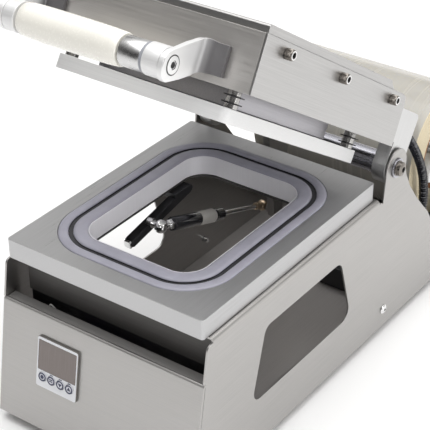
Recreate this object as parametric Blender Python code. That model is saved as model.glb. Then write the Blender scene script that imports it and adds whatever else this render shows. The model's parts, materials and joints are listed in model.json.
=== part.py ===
"""Hand-operated tabletop tray sealer, stored with its head open.

Every shape is drawn in millimetres in one drawing frame: X to the right, Y to the back from the
front edge of the mould plate, Z up from the top of the mould plate.  The head is drawn closed
and level, and an empty on the hinge axis tips it open.  Every moving group hangs from an empty
on its own joint axis.  The finished model stands on z = 0 with its box centred on the origin.
"""

import bpy
import bmesh
from math import atan2, cos, degrees, hypot, pi, radians, sin, tan
from mathutils import Matrix, Vector
from mathutils.geometry import tessellate_polygon

MM = 0.001
GAP = 0.3                      # kept between touching pieces
SHEET = 2.0                    # stainless sheet

# ---- driving dimensions, millimetres -------------------------------------------------
BODY_HALF = 115.0              # outer faces of the side panels
BODY_HEIGHT = 182.0            # underside of the base below the top of the mould plate
FOOT_HEIGHT = 10.0
BODY_REAR = 485.0              # back edge of the side panels
LEAN = radians(9.5)            # the front leans out towards the bottom
LEAN_RIDGE = (-5.8, -62.0)     # y and z of the top edge of the front panel

PLATE_HALF, PLATE_DEPTH, PLATE_THICK = 110.0, 278.0, 20.0
TRAY_MID = 137.0               # middle of the tray opening
TRAY_HALF = (64.0, 91.5)
TRAY_CORNER = 24.0
SEAL_GROOVE = 2.5              # how far the seals sit into the plate
SEAL_PROUD = 1.5               # and stand out of it
INNER_SEAL_STEPS = (1.0, 14.5)   # inner and outer edge, measured out from the tray opening
OUTER_SEAL_STEPS = (19.0, 28.5)

PIVOT_Y, PIVOT_Z = 311.0, 3.0
EAR_RADIUS = 19.5
OPEN_ANGLE = radians(32.8)

HEAD_HALF = 113.8              # outer faces of the head cover
HEAD_LOW, HEAD_TOP = 20.5, 71.0
HEAD_FRONT, HEAD_BACK = 2.0, 287.0
HEAD_SKEW = 0.075              # front and back edges lean forward with height
HEATER_LIFT = 9.3              # the press plate rises this far into the head on closing
PRESS_HALF, PRESS_FRONT, PRESS_BACK = 91.0, 14.0, 266.0
PRESS_LOW, PRESS_HIGH = -7.0, 5.8
GUIDE_X, GUIDE_Y = 84.5, (27.0, 252.0)
CARRIER_LOW, CARRIER_HIGH = 40.0, 44.0

LEVER_IN, LEVER_OUT = 96.5, 111.5
HANDLE_Y, HANDLE_Z = -42.3, 23.7
ARM_OUT, ARM_THICK = 65.0, 5.0
GRIP_RANGE = (-88.0, 17.6)

SPRING_X = -43.0
SPRING_FRONT = (139.0, -34.0)
SPRING_REAR = (312.0, -96.0)

ROLL_Y, ROLL_Z, ROLL_RADIUS = 453.0, -50.0, 71.0
ROLL_RANGE = (-103.0, 93.0)
CORE_RADIUS, CORE_WALL = 42.0, 4.0
SHAFT_RADIUS = 8.0

CONTROL_X, CONTROL_Z = -44.8, -109.5
CONTROL_WIDTH, CONTROL_HEIGHT = 48.5, 52.0
WINDOW_HALF, WINDOW_LOW, WINDOW_HIGH = 23.1, -8.6, 23.6   # from the middle of the controller
CONTROL_PROUD = 2.6            # bezel in front of the leaning sheet
KEY_SPACING, KEY_DROP = 10.75, 14.4   # four keys in a row below the middle of the controller
KEY_RADIUS = 4.5

FOOT_X = (-88.0, 88.0)
FOOT_Y = (16.0, 452.0)
INLET_X, ROCKER_X, REAR_Z = 55.0, 5.0, -155.0

SIDE_SCREWS = ((35.7, 62.0), (141.4, 62.0), (250.6, 62.0))
PANEL_SCREW = (302.0, -160.0)

BEAM_FRONT, BEAM_REAR = (117.0, -47.0), (206.0, -29.6)
BEAM_IN, BEAM_OUT = -58.0, -67.0

CONDUIT_RADIUS = 5.0
CONDUIT_ROUTE = (
    (84.0, 317.0, 58.0), (86.0, 335.0, 48.0), (90.0, 352.0, 29.0), (95.0, 366.0, 7.0),
    (99.0, 380.0, -16.0), (102.0, 391.0, -42.0), (103.0, 396.0, -66.0), (103.0, 396.0, -90.0),
    (101.0, 388.0, -115.0), (96.0, 374.0, -140.0), (90.0, 358.0, -160.0),
)

MID_Y = 249.0                  # middle of the finished box along Y


# ---- materials -----------------------------------------------------------------------
def material(name, colour, roughness, metallic=0.0):
    made = bpy.data.materials.new(name)
    made.use_nodes = True
    shader = made.node_tree.nodes["Principled BSDF"]
    shader.inputs["Base Color"].default_value = (*colour, 1.0)
    shader.inputs["Roughness"].default_value = roughness
    shader.inputs["Metallic"].default_value = metallic
    return made


def make_materials():
    return {
        "steel": material("brushed_steel", (0.60, 0.59, 0.57), 0.34, 1.0),
        "dark_steel": material("dark_steel", (0.10, 0.10, 0.11), 0.45, 0.8),
        "chrome": material("chrome", (0.80, 0.80, 0.80), 0.10, 1.0),
        "aluminium": material("aluminium", (0.66, 0.66, 0.66), 0.38, 1.0),
        "silicone": material("silicone", (0.33, 0.33, 0.40), 0.55),
        "white_plastic": material("white_plastic", (0.80, 0.78, 0.72), 0.35),
        "grey_plastic": material("grey_plastic", (0.50, 0.50, 0.50), 0.40),
        "black_plastic": material("black_plastic", (0.02, 0.02, 0.02), 0.40),
        "display": material("display", (0.10, 0.08, 0.07), 0.10),
        "film": material("film", (0.72, 0.68, 0.55), 0.30),
        "cardboard": material("cardboard", (0.28, 0.12, 0.05), 0.85),
        "rubber": material("rubber", (0.03, 0.03, 0.03), 0.80),
    }


# ---- frames --------------------------------------------------------------------------
def make_frame(name, x, y, z, parent=None, tilt=0.0):
    """An empty at a point of the drawing frame, turned about X by tilt."""
    empty = bpy.data.objects.new(name, None)
    bpy.context.collection.objects.link(empty)
    origin = Vector((x, y, z))
    empty["drawing_origin"] = origin
    if parent is None:
        empty.location = (origin + Vector((0, -MID_Y, BODY_HEIGHT + FOOT_HEIGHT))) * MM
    else:
        empty.parent = parent
        empty.location = (origin - Vector(parent["drawing_origin"])) * MM
    empty.rotation_euler.x = tilt
    return empty


# ---- shape tools ---------------------------------------------------------------------
def add_piece(name, mesh_data, frame, look, sharp=32.0):
    """Finish a bmesh drawn in millimetres: scale it to metres about its frame's origin."""
    shift = Matrix.Translation(-Vector(frame["drawing_origin"]))
    mesh_data.transform(Matrix.Scale(MM, 4) @ shift)
    bmesh.ops.remove_doubles(mesh_data, verts=mesh_data.verts, dist=1e-6)
    bmesh.ops.recalc_face_normals(mesh_data, faces=mesh_data.faces)
    mesh = bpy.data.meshes.new(name)
    mesh_data.to_mesh(mesh)
    mesh_data.free()
    mesh.shade_smooth()
    mesh.set_sharp_from_angle(angle=radians(sharp))
    piece = bpy.data.objects.new(name, mesh)
    bpy.context.collection.objects.link(piece)
    piece.parent = frame
    mesh.materials.append(look)
    return piece


PLANES = {
    "x": lambda a, b, along: (along, a, b),
    "y": lambda a, b, along: (a, along, b),
    "z": lambda a, b, along: (a, b, along),
}


def prism(outline, low, high, across, holes=()):
    """A bmesh of an outline, with holes, extruded along the axis named by across."""
    shape = bmesh.new()
    loops = [list(outline)] + [list(hole) for hole in holes]
    place = PLANES[across]
    ends = []
    for along in (low, high):
        ends.append([[shape.verts.new(place(a, b, along)) for a, b in loop] for loop in loops])
    flat = [[Vector((a, b, 0.0)) for a, b in loop] for loop in loops]
    triangles = tessellate_polygon(flat)
    for end in ends:
        corners = [vert for loop in end for vert in loop]
        for triangle in triangles:
            shape.faces.new([corners[index] for index in triangle])
    for near, far in zip(*ends):
        for index in range(len(near)):
            after = (index + 1) % len(near)
            shape.faces.new((near[index], near[after], far[after], far[index]))
    bmesh.ops.dissolve_limit(shape, angle_limit=radians(0.1), verts=shape.verts, edges=shape.edges)
    bmesh.ops.triangulate(shape, faces=[face for face in shape.faces if len(face.verts) > 4])
    return shape


def arc(centre, radius, start, end, steps=6):
    """Points on an arc, angles in degrees."""
    angles = [radians(start + (end - start) * step / steps) for step in range(steps + 1)]
    return [(centre[0] + radius * cos(angle), centre[1] + radius * sin(angle)) for angle in angles]


def circle(centre, radius, steps=24):
    return arc(centre, radius, 0, 360 - 360 / steps, steps - 1)


def rounded_rectangle(low, high, radius, steps=5):
    """Outline between two corner points, with round corners."""
    (left, bottom), (right, top) = low, high
    points = []
    corners = ((right, top, 0), (left, top, 90), (left, bottom, 180), (right, bottom, 270))
    for x, y, start in corners:
        centre = (x - radius if x == right else x + radius, y - radius if y == top else y + radius)
        points += arc(centre, radius, start, start + 90, steps)
    return points


def rounded_polygon(corners, radii, steps=4):
    """Outline through corners, each one replaced by an arc of its own radius."""
    points = []
    count = len(corners)
    for index, radius in enumerate(radii):
        here = Vector(corners[index])
        before = (Vector(corners[index - 1]) - here).normalized()
        after = (Vector(corners[(index + 1) % count]) - here).normalized()
        if radius == 0:
            points.append(tuple(here))
            continue
        half = before.angle(after) / 2
        centre = here + (before + after).normalized() * (radius / sin(half))
        first = here + before * (radius / tan(half)) - centre
        last = here + after * (radius / tan(half)) - centre
        start = atan2(first.y, first.x)
        sweep = (atan2(last.y, last.x) - start + pi) % (2 * pi) - pi
        points += arc(centre, radius, degrees(start), degrees(start + sweep), steps)
    return points


def turned(profile, axis, centre=(0.0, 0.0, 0.0), steps=24, ring=False):
    """A bmesh of a profile of (along, radius) turned about an axis; a ring's profile closes."""
    shape = bmesh.new()
    place = {
        "x": lambda along, c, s: (centre[0] + along, centre[1] + c, centre[2] + s),
        "y": lambda along, c, s: (centre[0] + c, centre[1] + along, centre[2] + s),
        "z": lambda along, c, s: (centre[0] + c, centre[1] + s, centre[2] + along),
    }[axis]
    turns = [2 * pi * step / steps for step in range(steps)]
    loops = []
    for along, radius in profile:
        loops.append([shape.verts.new(place(along, radius * cos(t), radius * sin(t))) for t in turns])
    pairs = list(zip(loops, loops[1:] + loops[:1])) if ring else list(zip(loops, loops[1:]))
    for near, far in pairs:
        for step in range(steps):
            after = (step + 1) % steps
            shape.faces.new((near[step], near[after], far[after], far[step]))
    if not ring:
        shape.faces.new(loops[0])
        shape.faces.new(loops[-1])
    return shape


def box(low, high):
    outline = ((low[0], low[1]), (high[0], low[1]), (high[0], high[1]), (low[0], high[1]))
    return prism(outline, low[2], high[2], "z")


def mirrored(shape):
    """The same bmesh on the other side of X = 0."""
    shape.transform(Matrix.Scale(-1, 4, (1, 0, 0)))
    return shape


def merge_or_cut(piece, shape, operation):
    """Apply a Boolean of a bmesh drawn in millimetres to a finished piece."""
    frame = piece.parent
    tool = add_piece(piece.name + "_tool", shape, frame, piece.data.materials[0])
    tool.hide_render = True
    tool.display_type = "WIRE"
    modifier = piece.modifiers.new(operation.title(), "BOOLEAN")
    modifier.operation = operation
    modifier.object = tool
    modifier.solver = "EXACT"


def lean_y(z):
    """The sloping front of the base at a height."""
    return LEAN_RIDGE[0] + (z - LEAN_RIDGE[1]) * tan(LEAN)


def turn_point(y, z, angle):
    """A point turned about the hinge, for what is drawn open."""
    dy, dz = y - PIVOT_Y, z - PIVOT_Z
    return (PIVOT_Y + dy * cos(angle) - dz * sin(angle), PIVOT_Z + dy * sin(angle) + dz * cos(angle))


# ---- base ----------------------------------------------------------------------------
def side_panel_outline():
    """Side panel seen from the right: y to the back, z up."""
    step = SHEET + GAP + 0.3
    top = -24.5
    ear_front = arc((PIVOT_Y, PIVOT_Z), EAR_RADIUS, 188, -20, 14)
    cradle_top, valley = -30.0, -85.0
    outline = [
        (lean_y(-BODY_HEIGHT) + step, -BODY_HEIGHT),
        (lean_y(LEAN_RIDGE[1] + GAP) + step, LEAN_RIDGE[1] + GAP),
        (lean_y(LEAN_RIDGE[1] + GAP), LEAN_RIDGE[1] + GAP),
        (lean_y(-30.0), -30.0),
    ]
    outline += arc((lean_y(-30.0) + 5.6, -30.0), 5.5, 170, 90, 4)
    outline += [(8.0, top), (285.0, top), (288.5, -27.0)]
    outline += ear_front
    outline += [(333.0, -15.5), (342.0, -32.0), (357.0, -52.0), (372.0, -69.0), (386.0, -84.0)]
    outline += arc((404.0, valley), 15.0, 225, 300, 4)
    outline += [(424.0, -84.0), (433.0, -60.0)]
    outline += arc((444.0, cradle_top - 10.0), 10.0, 165, 90, 4)
    outline += slot_outline(cradle_top)
    outline += arc((BODY_REAR - 12.0, cradle_top - 12.0), 12.0, 90, 0, 5)
    outline += [(BODY_REAR, -BODY_HEIGHT)]
    return outline


def slot_outline(top):
    """The open slot that the roll shaft drops into, walked from front to back."""
    half = SHAFT_RADIUS * 0.75 + 0.5
    return ([(ROLL_Y - half, top)] + arc((ROLL_Y, ROLL_Z), half, 180, 360, 8) + [(ROLL_Y + half, top)])


def side_window():
    corners = ((87.0, -55.0), (213.6, -55.0), (236.0, -130.0), (66.0, -130.0))
    return rounded_polygon(corners, (10, 12, 12, 10), 5)


def build_side_panels(base, look):
    """Side sheets with a window, a hinge ear, a shaft cradle and a top edge folded inwards."""
    inner = BODY_HALF - SHEET
    fold = [(BODY_HALF, -29.0)] + arc((BODY_HALF - 4.0, -24.5), 4.0, 0, 90, 4) + [(101.0, -20.5)]
    fold += [(101.0, -22.5)] + arc((BODY_HALF - 4.0, -24.5), 2.0, 90, 0, 3) + [(inner, -29.0)]
    for side, name in ((1, "side_panel_right"), (-1, "side_panel_left")):
        holes = [side_window(), circle((PIVOT_Y, PIVOT_Z), 5.4, 16), circle(PANEL_SCREW, 3.0, 12)]
        sheet = prism(side_panel_outline(), inner, BODY_HALF, "x", holes)
        strip = prism(fold, 8.0, 282.0, "y")
        if side < 0:
            sheet, strip = mirrored(sheet), mirrored(strip)
        piece = add_piece(name, sheet, base, look["steel"])
        merge_or_cut(piece, strip, "UNION")


def build_deck(base, look):
    """The deck under the mould plate, with its front edge and a screen turned down behind the slot."""
    low, high, front = -24.8, -22.8, 19.0
    opening = rounded_rectangle(
        (-TRAY_HALF[0] - 2, TRAY_MID - TRAY_HALF[1] - 2),
        (TRAY_HALF[0] + 2, TRAY_MID + TRAY_HALF[1] + 2), TRAY_CORNER, 5)
    sheet = prism(rounded_rectangle((-110.5, front + 1), (110.5, 283.0), 1.0, 1), low, high, "z", [opening])
    piece = add_piece("deck_frame", sheet, base, look["dark_steel"])
    lip = ((front, -63.0), (front + SHEET, -63.0), (front + SHEET, low), (front + 5.0, low),
           (front + 5.0, high), (front, high))
    merge_or_cut(piece, prism(lip, -105.0, 105.0, "x"), "UNION")
    near, far = CONTROL_X - 25.0, CONTROL_X + 25.0
    screen_low, notch = -118.0, -82.0
    screen = ((-104.0, screen_low), (near, screen_low), (near, notch), (far, notch), (far, screen_low),
              (104.0, screen_low), (104.0, -40.0), (-104.0, -40.0))
    merge_or_cut(piece, prism(screen, front + 1.5, front + 2.5, "y"), "UNION")


def build_front_panel(base, look):
    """Leaning front sheet with its top edge folded back, cut out for the controller."""
    top, bottom = LEAN_RIDGE[1], -BODY_HEIGHT
    bend = 3.0
    centre = (lean_y(top - bend) + bend, top - bend)
    lean = degrees(LEAN)
    outline = [(lean_y(bottom), bottom), (lean_y(bottom) + SHEET, bottom)]
    outline += arc(centre, bend - SHEET, 180 - lean, 90, 3)
    outline += [(lean_y(top) + 13.0, top - SHEET), (lean_y(top) + 13.0, top)]
    outline += arc(centre, bend, 90, 180 - lean, 5)
    piece = add_piece("front_panel", prism(outline, -BODY_HALF, BODY_HALF, "x"), base, look["steel"])
    fold_half = BODY_HALF - SHEET - 2 * GAP
    for side in (-1, 1):
        near, far = sorted((side * fold_half, side * (BODY_HALF + 5.0)))
        relief = box((near, lean_y(top) + SHEET + 0.2, top - 12.0), (far, 20.0, top + 5.0))
        merge_or_cut(piece, relief, "DIFFERENCE")
    opening = 22.5
    cutter = box((CONTROL_X - opening, -60.0, CONTROL_Z - opening),
                 (CONTROL_X + opening, 40.0, CONTROL_Z + opening))
    merge_or_cut(piece, cutter, "DIFFERENCE")


def build_rear_and_bottom(base, look):
    inner = BODY_HALF - SHEET - GAP
    low = -BODY_HEIGHT
    rear = BODY_REAR
    rear_sheet = prism(
        ((-inner, low + SHEET + GAP), (inner, low + SHEET + GAP), (inner, -128.0), (-inner, -128.0)),
        rear - SHEET, rear, "y",
        [inlet_hole(), rocker_hole()])
    add_piece("rear_panel", rear_sheet, base, look["steel"])
    front = lean_y(low) + SHEET + 1.0
    outline = ((-inner, front), (inner, front), (inner, rear), (-inner, rear))
    feet = [circle((x, y), 4.3, 12) for x in FOOT_X for y in FOOT_Y]
    add_piece("bottom_plate", prism(outline, low, low + SHEET, "z", feet), base, look["steel"])


def inlet_hole():
    return rounded_rectangle((INLET_X - 14.0, REAR_Z - 10.5), (INLET_X + 14.0, REAR_Z + 10.5), 2.0, 2)


def rocker_hole():
    return rounded_rectangle((ROCKER_X - 10.0, REAR_Z - 7.0), (ROCKER_X + 10.0, REAR_Z + 7.0), 1.0, 1)


def build_mould_plate(base, look):
    """The thick machined plate, its tray opening and the recess that holds both seals."""
    low = (-PLATE_HALF, 0.0)
    high = (PLATE_HALF, PLATE_DEPTH)
    plate = prism(rounded_rectangle(low, high, 3.0, 3), -PLATE_THICK, 0.0, "z", [tray_outline(0.0)])
    piece = add_piece("mould_plate", plate, base, look["steel"])
    edges = piece.modifiers.new("Bevel", "BEVEL")
    edges.width = 0.6 * MM
    edges.segments = 1
    edges.angle_limit = radians(60)
    inner, outer = INNER_SEAL_STEPS[0], OUTER_SEAL_STEPS[1]
    recess = prism(tray_outline(outer + GAP), -SEAL_GROOVE, 5.0, "z", [tray_outline(inner - GAP)])
    merge_or_cut(piece, recess, "DIFFERENCE")


def tray_outline(step, points=8):
    """The tray opening's outline moved outwards by step."""
    low = (-TRAY_HALF[0] - step, TRAY_MID - TRAY_HALF[1] - step)
    high = (TRAY_HALF[0] + step, TRAY_MID + TRAY_HALF[1] + step)
    return rounded_rectangle(low, high, TRAY_CORNER + step, points)


def build_seals(base, look):
    for name, (inner, outer) in (("inner_seal", INNER_SEAL_STEPS), ("outer_seal", OUTER_SEAL_STEPS)):
        ring = prism(tray_outline(outer), -SEAL_GROOVE + GAP, SEAL_PROUD, "z", [tray_outline(inner)])
        add_piece(name, ring, base, look["silicone"])


def build_controller(base, look):
    """Panel-mounted temperature controller: case, display and four keys on the leaning front."""
    face = make_frame("controller_axis", CONTROL_X, lean_y(CONTROL_Z), CONTROL_Z, tilt=-LEAN)
    wide, tall = CONTROL_WIDTH / 2, CONTROL_HEIGHT / 2
    x, y, z = CONTROL_X, lean_y(CONTROL_Z), CONTROL_Z
    front = y - CONTROL_PROUD
    bezel = rounded_rectangle((x - wide, z - tall), (x + wide, z + tall), 2.0, 4)
    case = add_piece("controller_case", prism(bezel, front, y - GAP, "y"), face, look["white_plastic"])
    body = rounded_rectangle((x - 21.8, z - 21.8), (x + 21.8, z + 21.8), 1.0, 1)
    merge_or_cut(case, prism(body, y - 1.0, y + 55.0, "y"), "UNION")
    (left, low), (right, high) = (x - WINDOW_HALF, z + WINDOW_LOW), (x + WINDOW_HALF, z + WINDOW_HIGH)
    window = rounded_rectangle((left, low), (right, high), 1.5, 2)
    merge_or_cut(case, prism(window, front - 5.0, front + 1.5, "y"), "DIFFERENCE")
    pane = rounded_rectangle((left + GAP, low + GAP), (right - GAP, high - GAP), 1.2, 2)
    add_piece("controller_display", prism(pane, front + 0.1, front + 1.2, "y"), face, look["display"])
    for number in range(4):
        centre = (x + KEY_SPACING * (number - 1.5), 0.0, z - KEY_DROP)
        pocket = turned([(front - 5.0, KEY_RADIUS + GAP), (y - 0.9, KEY_RADIUS + GAP)], "y", centre, 14)
        merge_or_cut(case, pocket, "DIFFERENCE")
        profile = [(front - 1.2, KEY_RADIUS - 0.6), (front - 0.8, KEY_RADIUS), (y - 1.9, KEY_RADIUS)]
        add_piece(f"key_{number + 1}", turned(profile, "y", centre, 14), face, look["grey_plastic"])


def build_feet(base, look):
    names = ("front_left", "rear_left", "front_right", "rear_right")
    places = [(x, y) for x in FOOT_X for y in FOOT_Y]
    low = -BODY_HEIGHT - FOOT_HEIGHT
    for name, (x, y) in zip(names, places):
        top = -BODY_HEIGHT - GAP
        profile = [(low, 9.0), (low + 1.0, 10.0), (top, 12.0), (top, 3.9), (top + SHEET + 4.3, 3.9)]
        add_piece(f"foot_{name}", turned(profile, "z", (x, y, 0.0), 16), base, look["rubber"])


def build_roll(base, look):
    """A shaft with two hubs in the open slots, and the film wound on its cardboard core."""
    flat = SHAFT_RADIUS * 0.75
    end = BODY_HALF + 3.0
    left, right = ROLL_RANGE
    bore = CORE_RADIUS - CORE_WALL
    shoulder = BODY_HALF - SHEET - 0.8
    hub = bore - GAP - 0.2
    profile = [(-end, flat), (-shoulder, flat), (-shoulder, SHAFT_RADIUS), (left + 4, SHAFT_RADIUS),
               (left + 4, hub), (left + 16, hub), (left + 16, SHAFT_RADIUS), (right - 16, SHAFT_RADIUS),
               (right - 16, hub), (right - 4, hub), (right - 4, SHAFT_RADIUS), (shoulder, SHAFT_RADIUS),
               (shoulder, flat), (end, flat)]
    add_piece("roll_shaft", turned(profile, "x", (0, ROLL_Y, ROLL_Z), 24), base, look["chrome"])
    spin = make_frame("roll_axis", 0.0, ROLL_Y, ROLL_Z)
    core = [(left + 1, bore), (right - 1, bore), (right - 1, CORE_RADIUS), (left + 1, CORE_RADIUS)]
    add_piece("roll_core", turned(core, "x", (0, ROLL_Y, ROLL_Z), 32, ring=True), spin, look["cardboard"])
    wound = [(left, CORE_RADIUS + GAP), (right, CORE_RADIUS + GAP), (right, ROLL_RADIUS - 1),
             (right - 1, ROLL_RADIUS), (left + 1, ROLL_RADIUS), (left, ROLL_RADIUS - 1)]
    add_piece("film_roll", turned(wound, "x", (0, ROLL_Y, ROLL_Z), 48, ring=True), spin, look["film"])


def build_rear_fittings(base, look):
    """Mains inlet and rocker switch, both clipped into the rear panel."""
    y = BODY_REAR
    flange = rounded_rectangle((INLET_X - 24.0, REAR_Z - 13.0), (INLET_X + 24.0, REAR_Z + 13.0), 3.0, 3)
    inlet = add_piece("power_inlet", prism(flange, y + GAP, y + 3.0, "y"), base, look["black_plastic"])
    body = rounded_rectangle((INLET_X - 13.5, REAR_Z - 10.0), (INLET_X + 13.5, REAR_Z + 10.0), 2.0, 2)
    merge_or_cut(inlet, prism(body, y - 22.0, y + 1.0, "y"), "UNION")
    socket = rounded_rectangle((INLET_X - 11.0, REAR_Z - 7.5), (INLET_X + 11.0, REAR_Z + 7.5), 1.5, 2)
    merge_or_cut(inlet, prism(socket, y - 15.0, y + 9.0, "y"), "DIFFERENCE")
    rocker_axis = make_frame("rocker_axis", ROCKER_X, y - 3.0, REAR_Z)
    half = 9.2
    profile = ((-10.0, -3.0), (-10.0, 3.0), (2.6, 6.0), (1.0, 0.0), (3.6, -6.0))
    outline = [(y + depth, REAR_Z + height) for depth, height in profile]
    shape = prism(outline, ROCKER_X - half, ROCKER_X + half, "x")
    add_piece("rocker_switch", shape, rocker_axis, look["black_plastic"])


def build_spring_beam(base, look):
    """The black bar under the deck that carries the gas spring's front ball stud."""
    (front_y, front_z), (rear_y, rear_z) = BEAM_FRONT, BEAM_REAR
    slope = degrees(atan2(rear_z - front_z, rear_y - front_y))
    outline = arc(BEAM_FRONT, 4.5, slope + 90, slope + 270, 8)
    outline += arc(BEAM_REAR, 4.5, slope - 90, slope + 90, 8)
    beam = add_piece("spring_beam", prism(outline, BEAM_OUT, BEAM_IN, "x"), base, look["dark_steel"])
    foot = ((-86.0, rear_y - 24.0), (BEAM_IN, rear_y - 24.0), (BEAM_IN, rear_y), (-86.0, rear_y))
    merge_or_cut(beam, prism(foot, rear_z - 1.4, rear_z + 4.5, "z"), "UNION")
    y, z = SPRING_FRONT
    stud = [(-57.7, 5.0), (-52.0, 5.0), (-52.0, 2.6), (-47.5, 2.6), (-46.6, 4.4), (-43.0, 5.0), (-39.4, 3.5)]
    add_piece("ball_stud_front", turned(stud, "x", (0, y, z), 16), base, look["chrome"])


def build_power_relay(base, look):
    relay = box((20.0, 330.0, -BODY_HEIGHT + SHEET + GAP), (65.0, 388.0, -BODY_HEIGHT + 27.0))
    add_piece("power_relay", relay, base, look["black_plastic"])


def build_panel_screws(base, look):
    for side, name in ((1, "panel_screw_right"), (-1, "panel_screw_left")):
        start = BODY_HALF + GAP
        profile = [(start - 8.0, 2.6), (start, 2.6), (start, 5.2), (start + 1.6, 4.6), (start + 2.7, 2.4)]
        screw = turned(profile, "x", (0.0, *PANEL_SCREW), 16)
        add_piece(name, mirrored(screw) if side < 0 else screw, base, look["chrome"])


def build_pivot_bolts(base, look):
    """Button-head bolts, each with its washer, that the hinge levers turn on."""
    for side, name in ((1, "right"), (-1, "left")):
        start = BODY_HALF + GAP
        head = start + 1.6
        profile = [(LEVER_IN + 1.0, 4.9), (start, 4.9), (start, 10.0), (head, 10.0), (head, 8.4),
                   (head + 2.4, 7.6), (head + 4.4, 5.0), (head + 4.9, 3.3)]
        shape = turned(profile, "x", (0.0, PIVOT_Y, PIVOT_Z), 24)
        add_piece(f"pivot_bolt_{name}", mirrored(shape) if side < 0 else shape, base, look["chrome"])


def smooth_route(points, count):
    """Points of a Catmull-Rom curve through a short list of route points."""
    padded = [2 * points[0] - points[1]] + points + [2 * points[-1] - points[-2]]
    spans = len(points) - 1
    route = []
    for step in range(count):
        place = step * spans / (count - 1)
        span = min(int(place), spans - 1)
        t = place - span
        a, b, c, d = padded[span:span + 4]
        route.append(0.5 * (2 * b + (c - a) * t + (2 * a - 5 * b + 4 * c - d) * t * t
                            + (3 * b - a - 3 * c + d) * t * t * t))
    return route


def build_conduit(base, look):
    """Corrugated conduit that carries the heater leads round the hinge."""
    curve = bpy.data.curves.new("conduit", "CURVE")
    curve.dimensions = "3D"
    curve.bevel_depth = CONDUIT_RADIUS * MM
    curve.bevel_resolution = 2
    curve.use_fill_caps = True
    route = smooth_route([Vector(point) for point in CONDUIT_ROUTE], 26)
    spline = curve.splines.new("POLY")
    spline.points.add(len(route) - 1)
    for target, place in zip(spline.points, route):
        target.co = (*((place - Vector(base["drawing_origin"])) * MM), 1.0)
    conduit = bpy.data.objects.new("conduit", curve)
    bpy.context.collection.objects.link(conduit)
    conduit.parent = base
    curve.materials.append(look["rubber"])


# ---- head ----------------------------------------------------------------------------
def skewed(y, z):
    """Front and back edges of the head lean forward as they rise."""
    return y - (z - HEAD_LOW) * HEAD_SKEW


def build_head_cover(head, look):
    """Side and front sheets of the head as one folded shell, open below and behind."""
    low, top = HEAD_LOW, HEAD_TOP
    corners = ((skewed(HEAD_FRONT, low), low), (HEAD_BACK, low), (skewed(HEAD_BACK, top), top),
               (skewed(HEAD_FRONT, top), top))
    outline = rounded_polygon(corners, (0, 1, 7, 0), 5)
    piece = add_piece("head_cover", prism(outline, -HEAD_HALF, HEAD_HALF, "x"), head, look["steel"])
    inner = HEAD_HALF - SHEET
    hollow = ((skewed(HEAD_FRONT, low - 10) + SHEET, low - 10), (HEAD_BACK + 20, low - 10),
              (HEAD_BACK + 20, top + 10), (skewed(HEAD_FRONT, top + 10) + SHEET, top + 10))
    merge_or_cut(piece, prism(hollow, -inner, inner, "x"), "DIFFERENCE")
    for y, z in SIDE_SCREWS:
        merge_or_cut(piece, turned([(-140.0, 3.3), (140.0, 3.3)], "x", (0.0, y, z), 12), "DIFFERENCE")


def build_head_lid(head, look):
    """Lid sheet: a shallow tray that drops between the cover's sides and stands above them."""
    top, front, back = HEAD_TOP + 8.0, 6.0, 249.0
    corners = ((front, HEAD_TOP + GAP), (back + 12, HEAD_TOP + GAP), (back, top), (front - 0.6, top))
    outline = rounded_polygon(corners, (0, 0, 2, 2), 3)
    piece = add_piece("head_lid", prism(outline, -109.5, 109.5, "x"), head, look["steel"])
    hollow = ((front + SHEET, HEAD_TOP - 5), (back + 14, HEAD_TOP - 5), (back - SHEET - 1, top - SHEET),
              (front + SHEET, top - SHEET))
    merge_or_cut(piece, prism(hollow, -109.5 + SHEET, 109.5 - SHEET, "x"), "DIFFERENCE")


def build_carrier(head, look):
    """Cross plate inside the head, with a bore for each guide bolt, and its edges turned up."""
    guides = [circle((x, y), 6.6, 16) for x in (-GUIDE_X, GUIDE_X) for y in GUIDE_Y]
    half = 96.0
    outline = rounded_rectangle((-half, 9.0), (half, 282.0), 2.0, 2)
    slab = prism(outline, CARRIER_LOW, CARRIER_HIGH, "z", guides)
    piece = add_piece("carrier_plate", slab, head, look["steel"])
    for side in (-1, 1):
        near, far = sorted((side * (half - 3.0), side * half))
        merge_or_cut(piece, box((near, 9.0, CARRIER_HIGH - 1), (far, 282.0, 68.0)), "UNION")


def build_levers(head, look):
    """Thick bars from the hinge up and forward into the head."""
    front, rear, top = -16.3, 19.0, 56.0
    radius = 17.8
    outline = [(PIVOT_Y + y, PIVOT_Z + z) for y, z in (
        *arc((0.0, 0.0), radius, 0, -180, 16), (front - 1.0, 22.0), (-118.0, 22.0), (-118.0, top),
        (rear - 5.0, top), *arc((rear - 5.0, top - 5.0), 5.0, 75, 0, 4), (rear - 0.4, 8.0))]
    for side, name in ((1, "hinge_lever_right"), (-1, "hinge_lever_left")):
        bore = circle((PIVOT_Y, PIVOT_Z), 5.0, 24)
        lever = prism(outline, LEVER_IN, LEVER_OUT, "x", [bore])
        add_piece(name, mirrored(lever) if side < 0 else lever, head, look["aluminium"])


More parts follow.
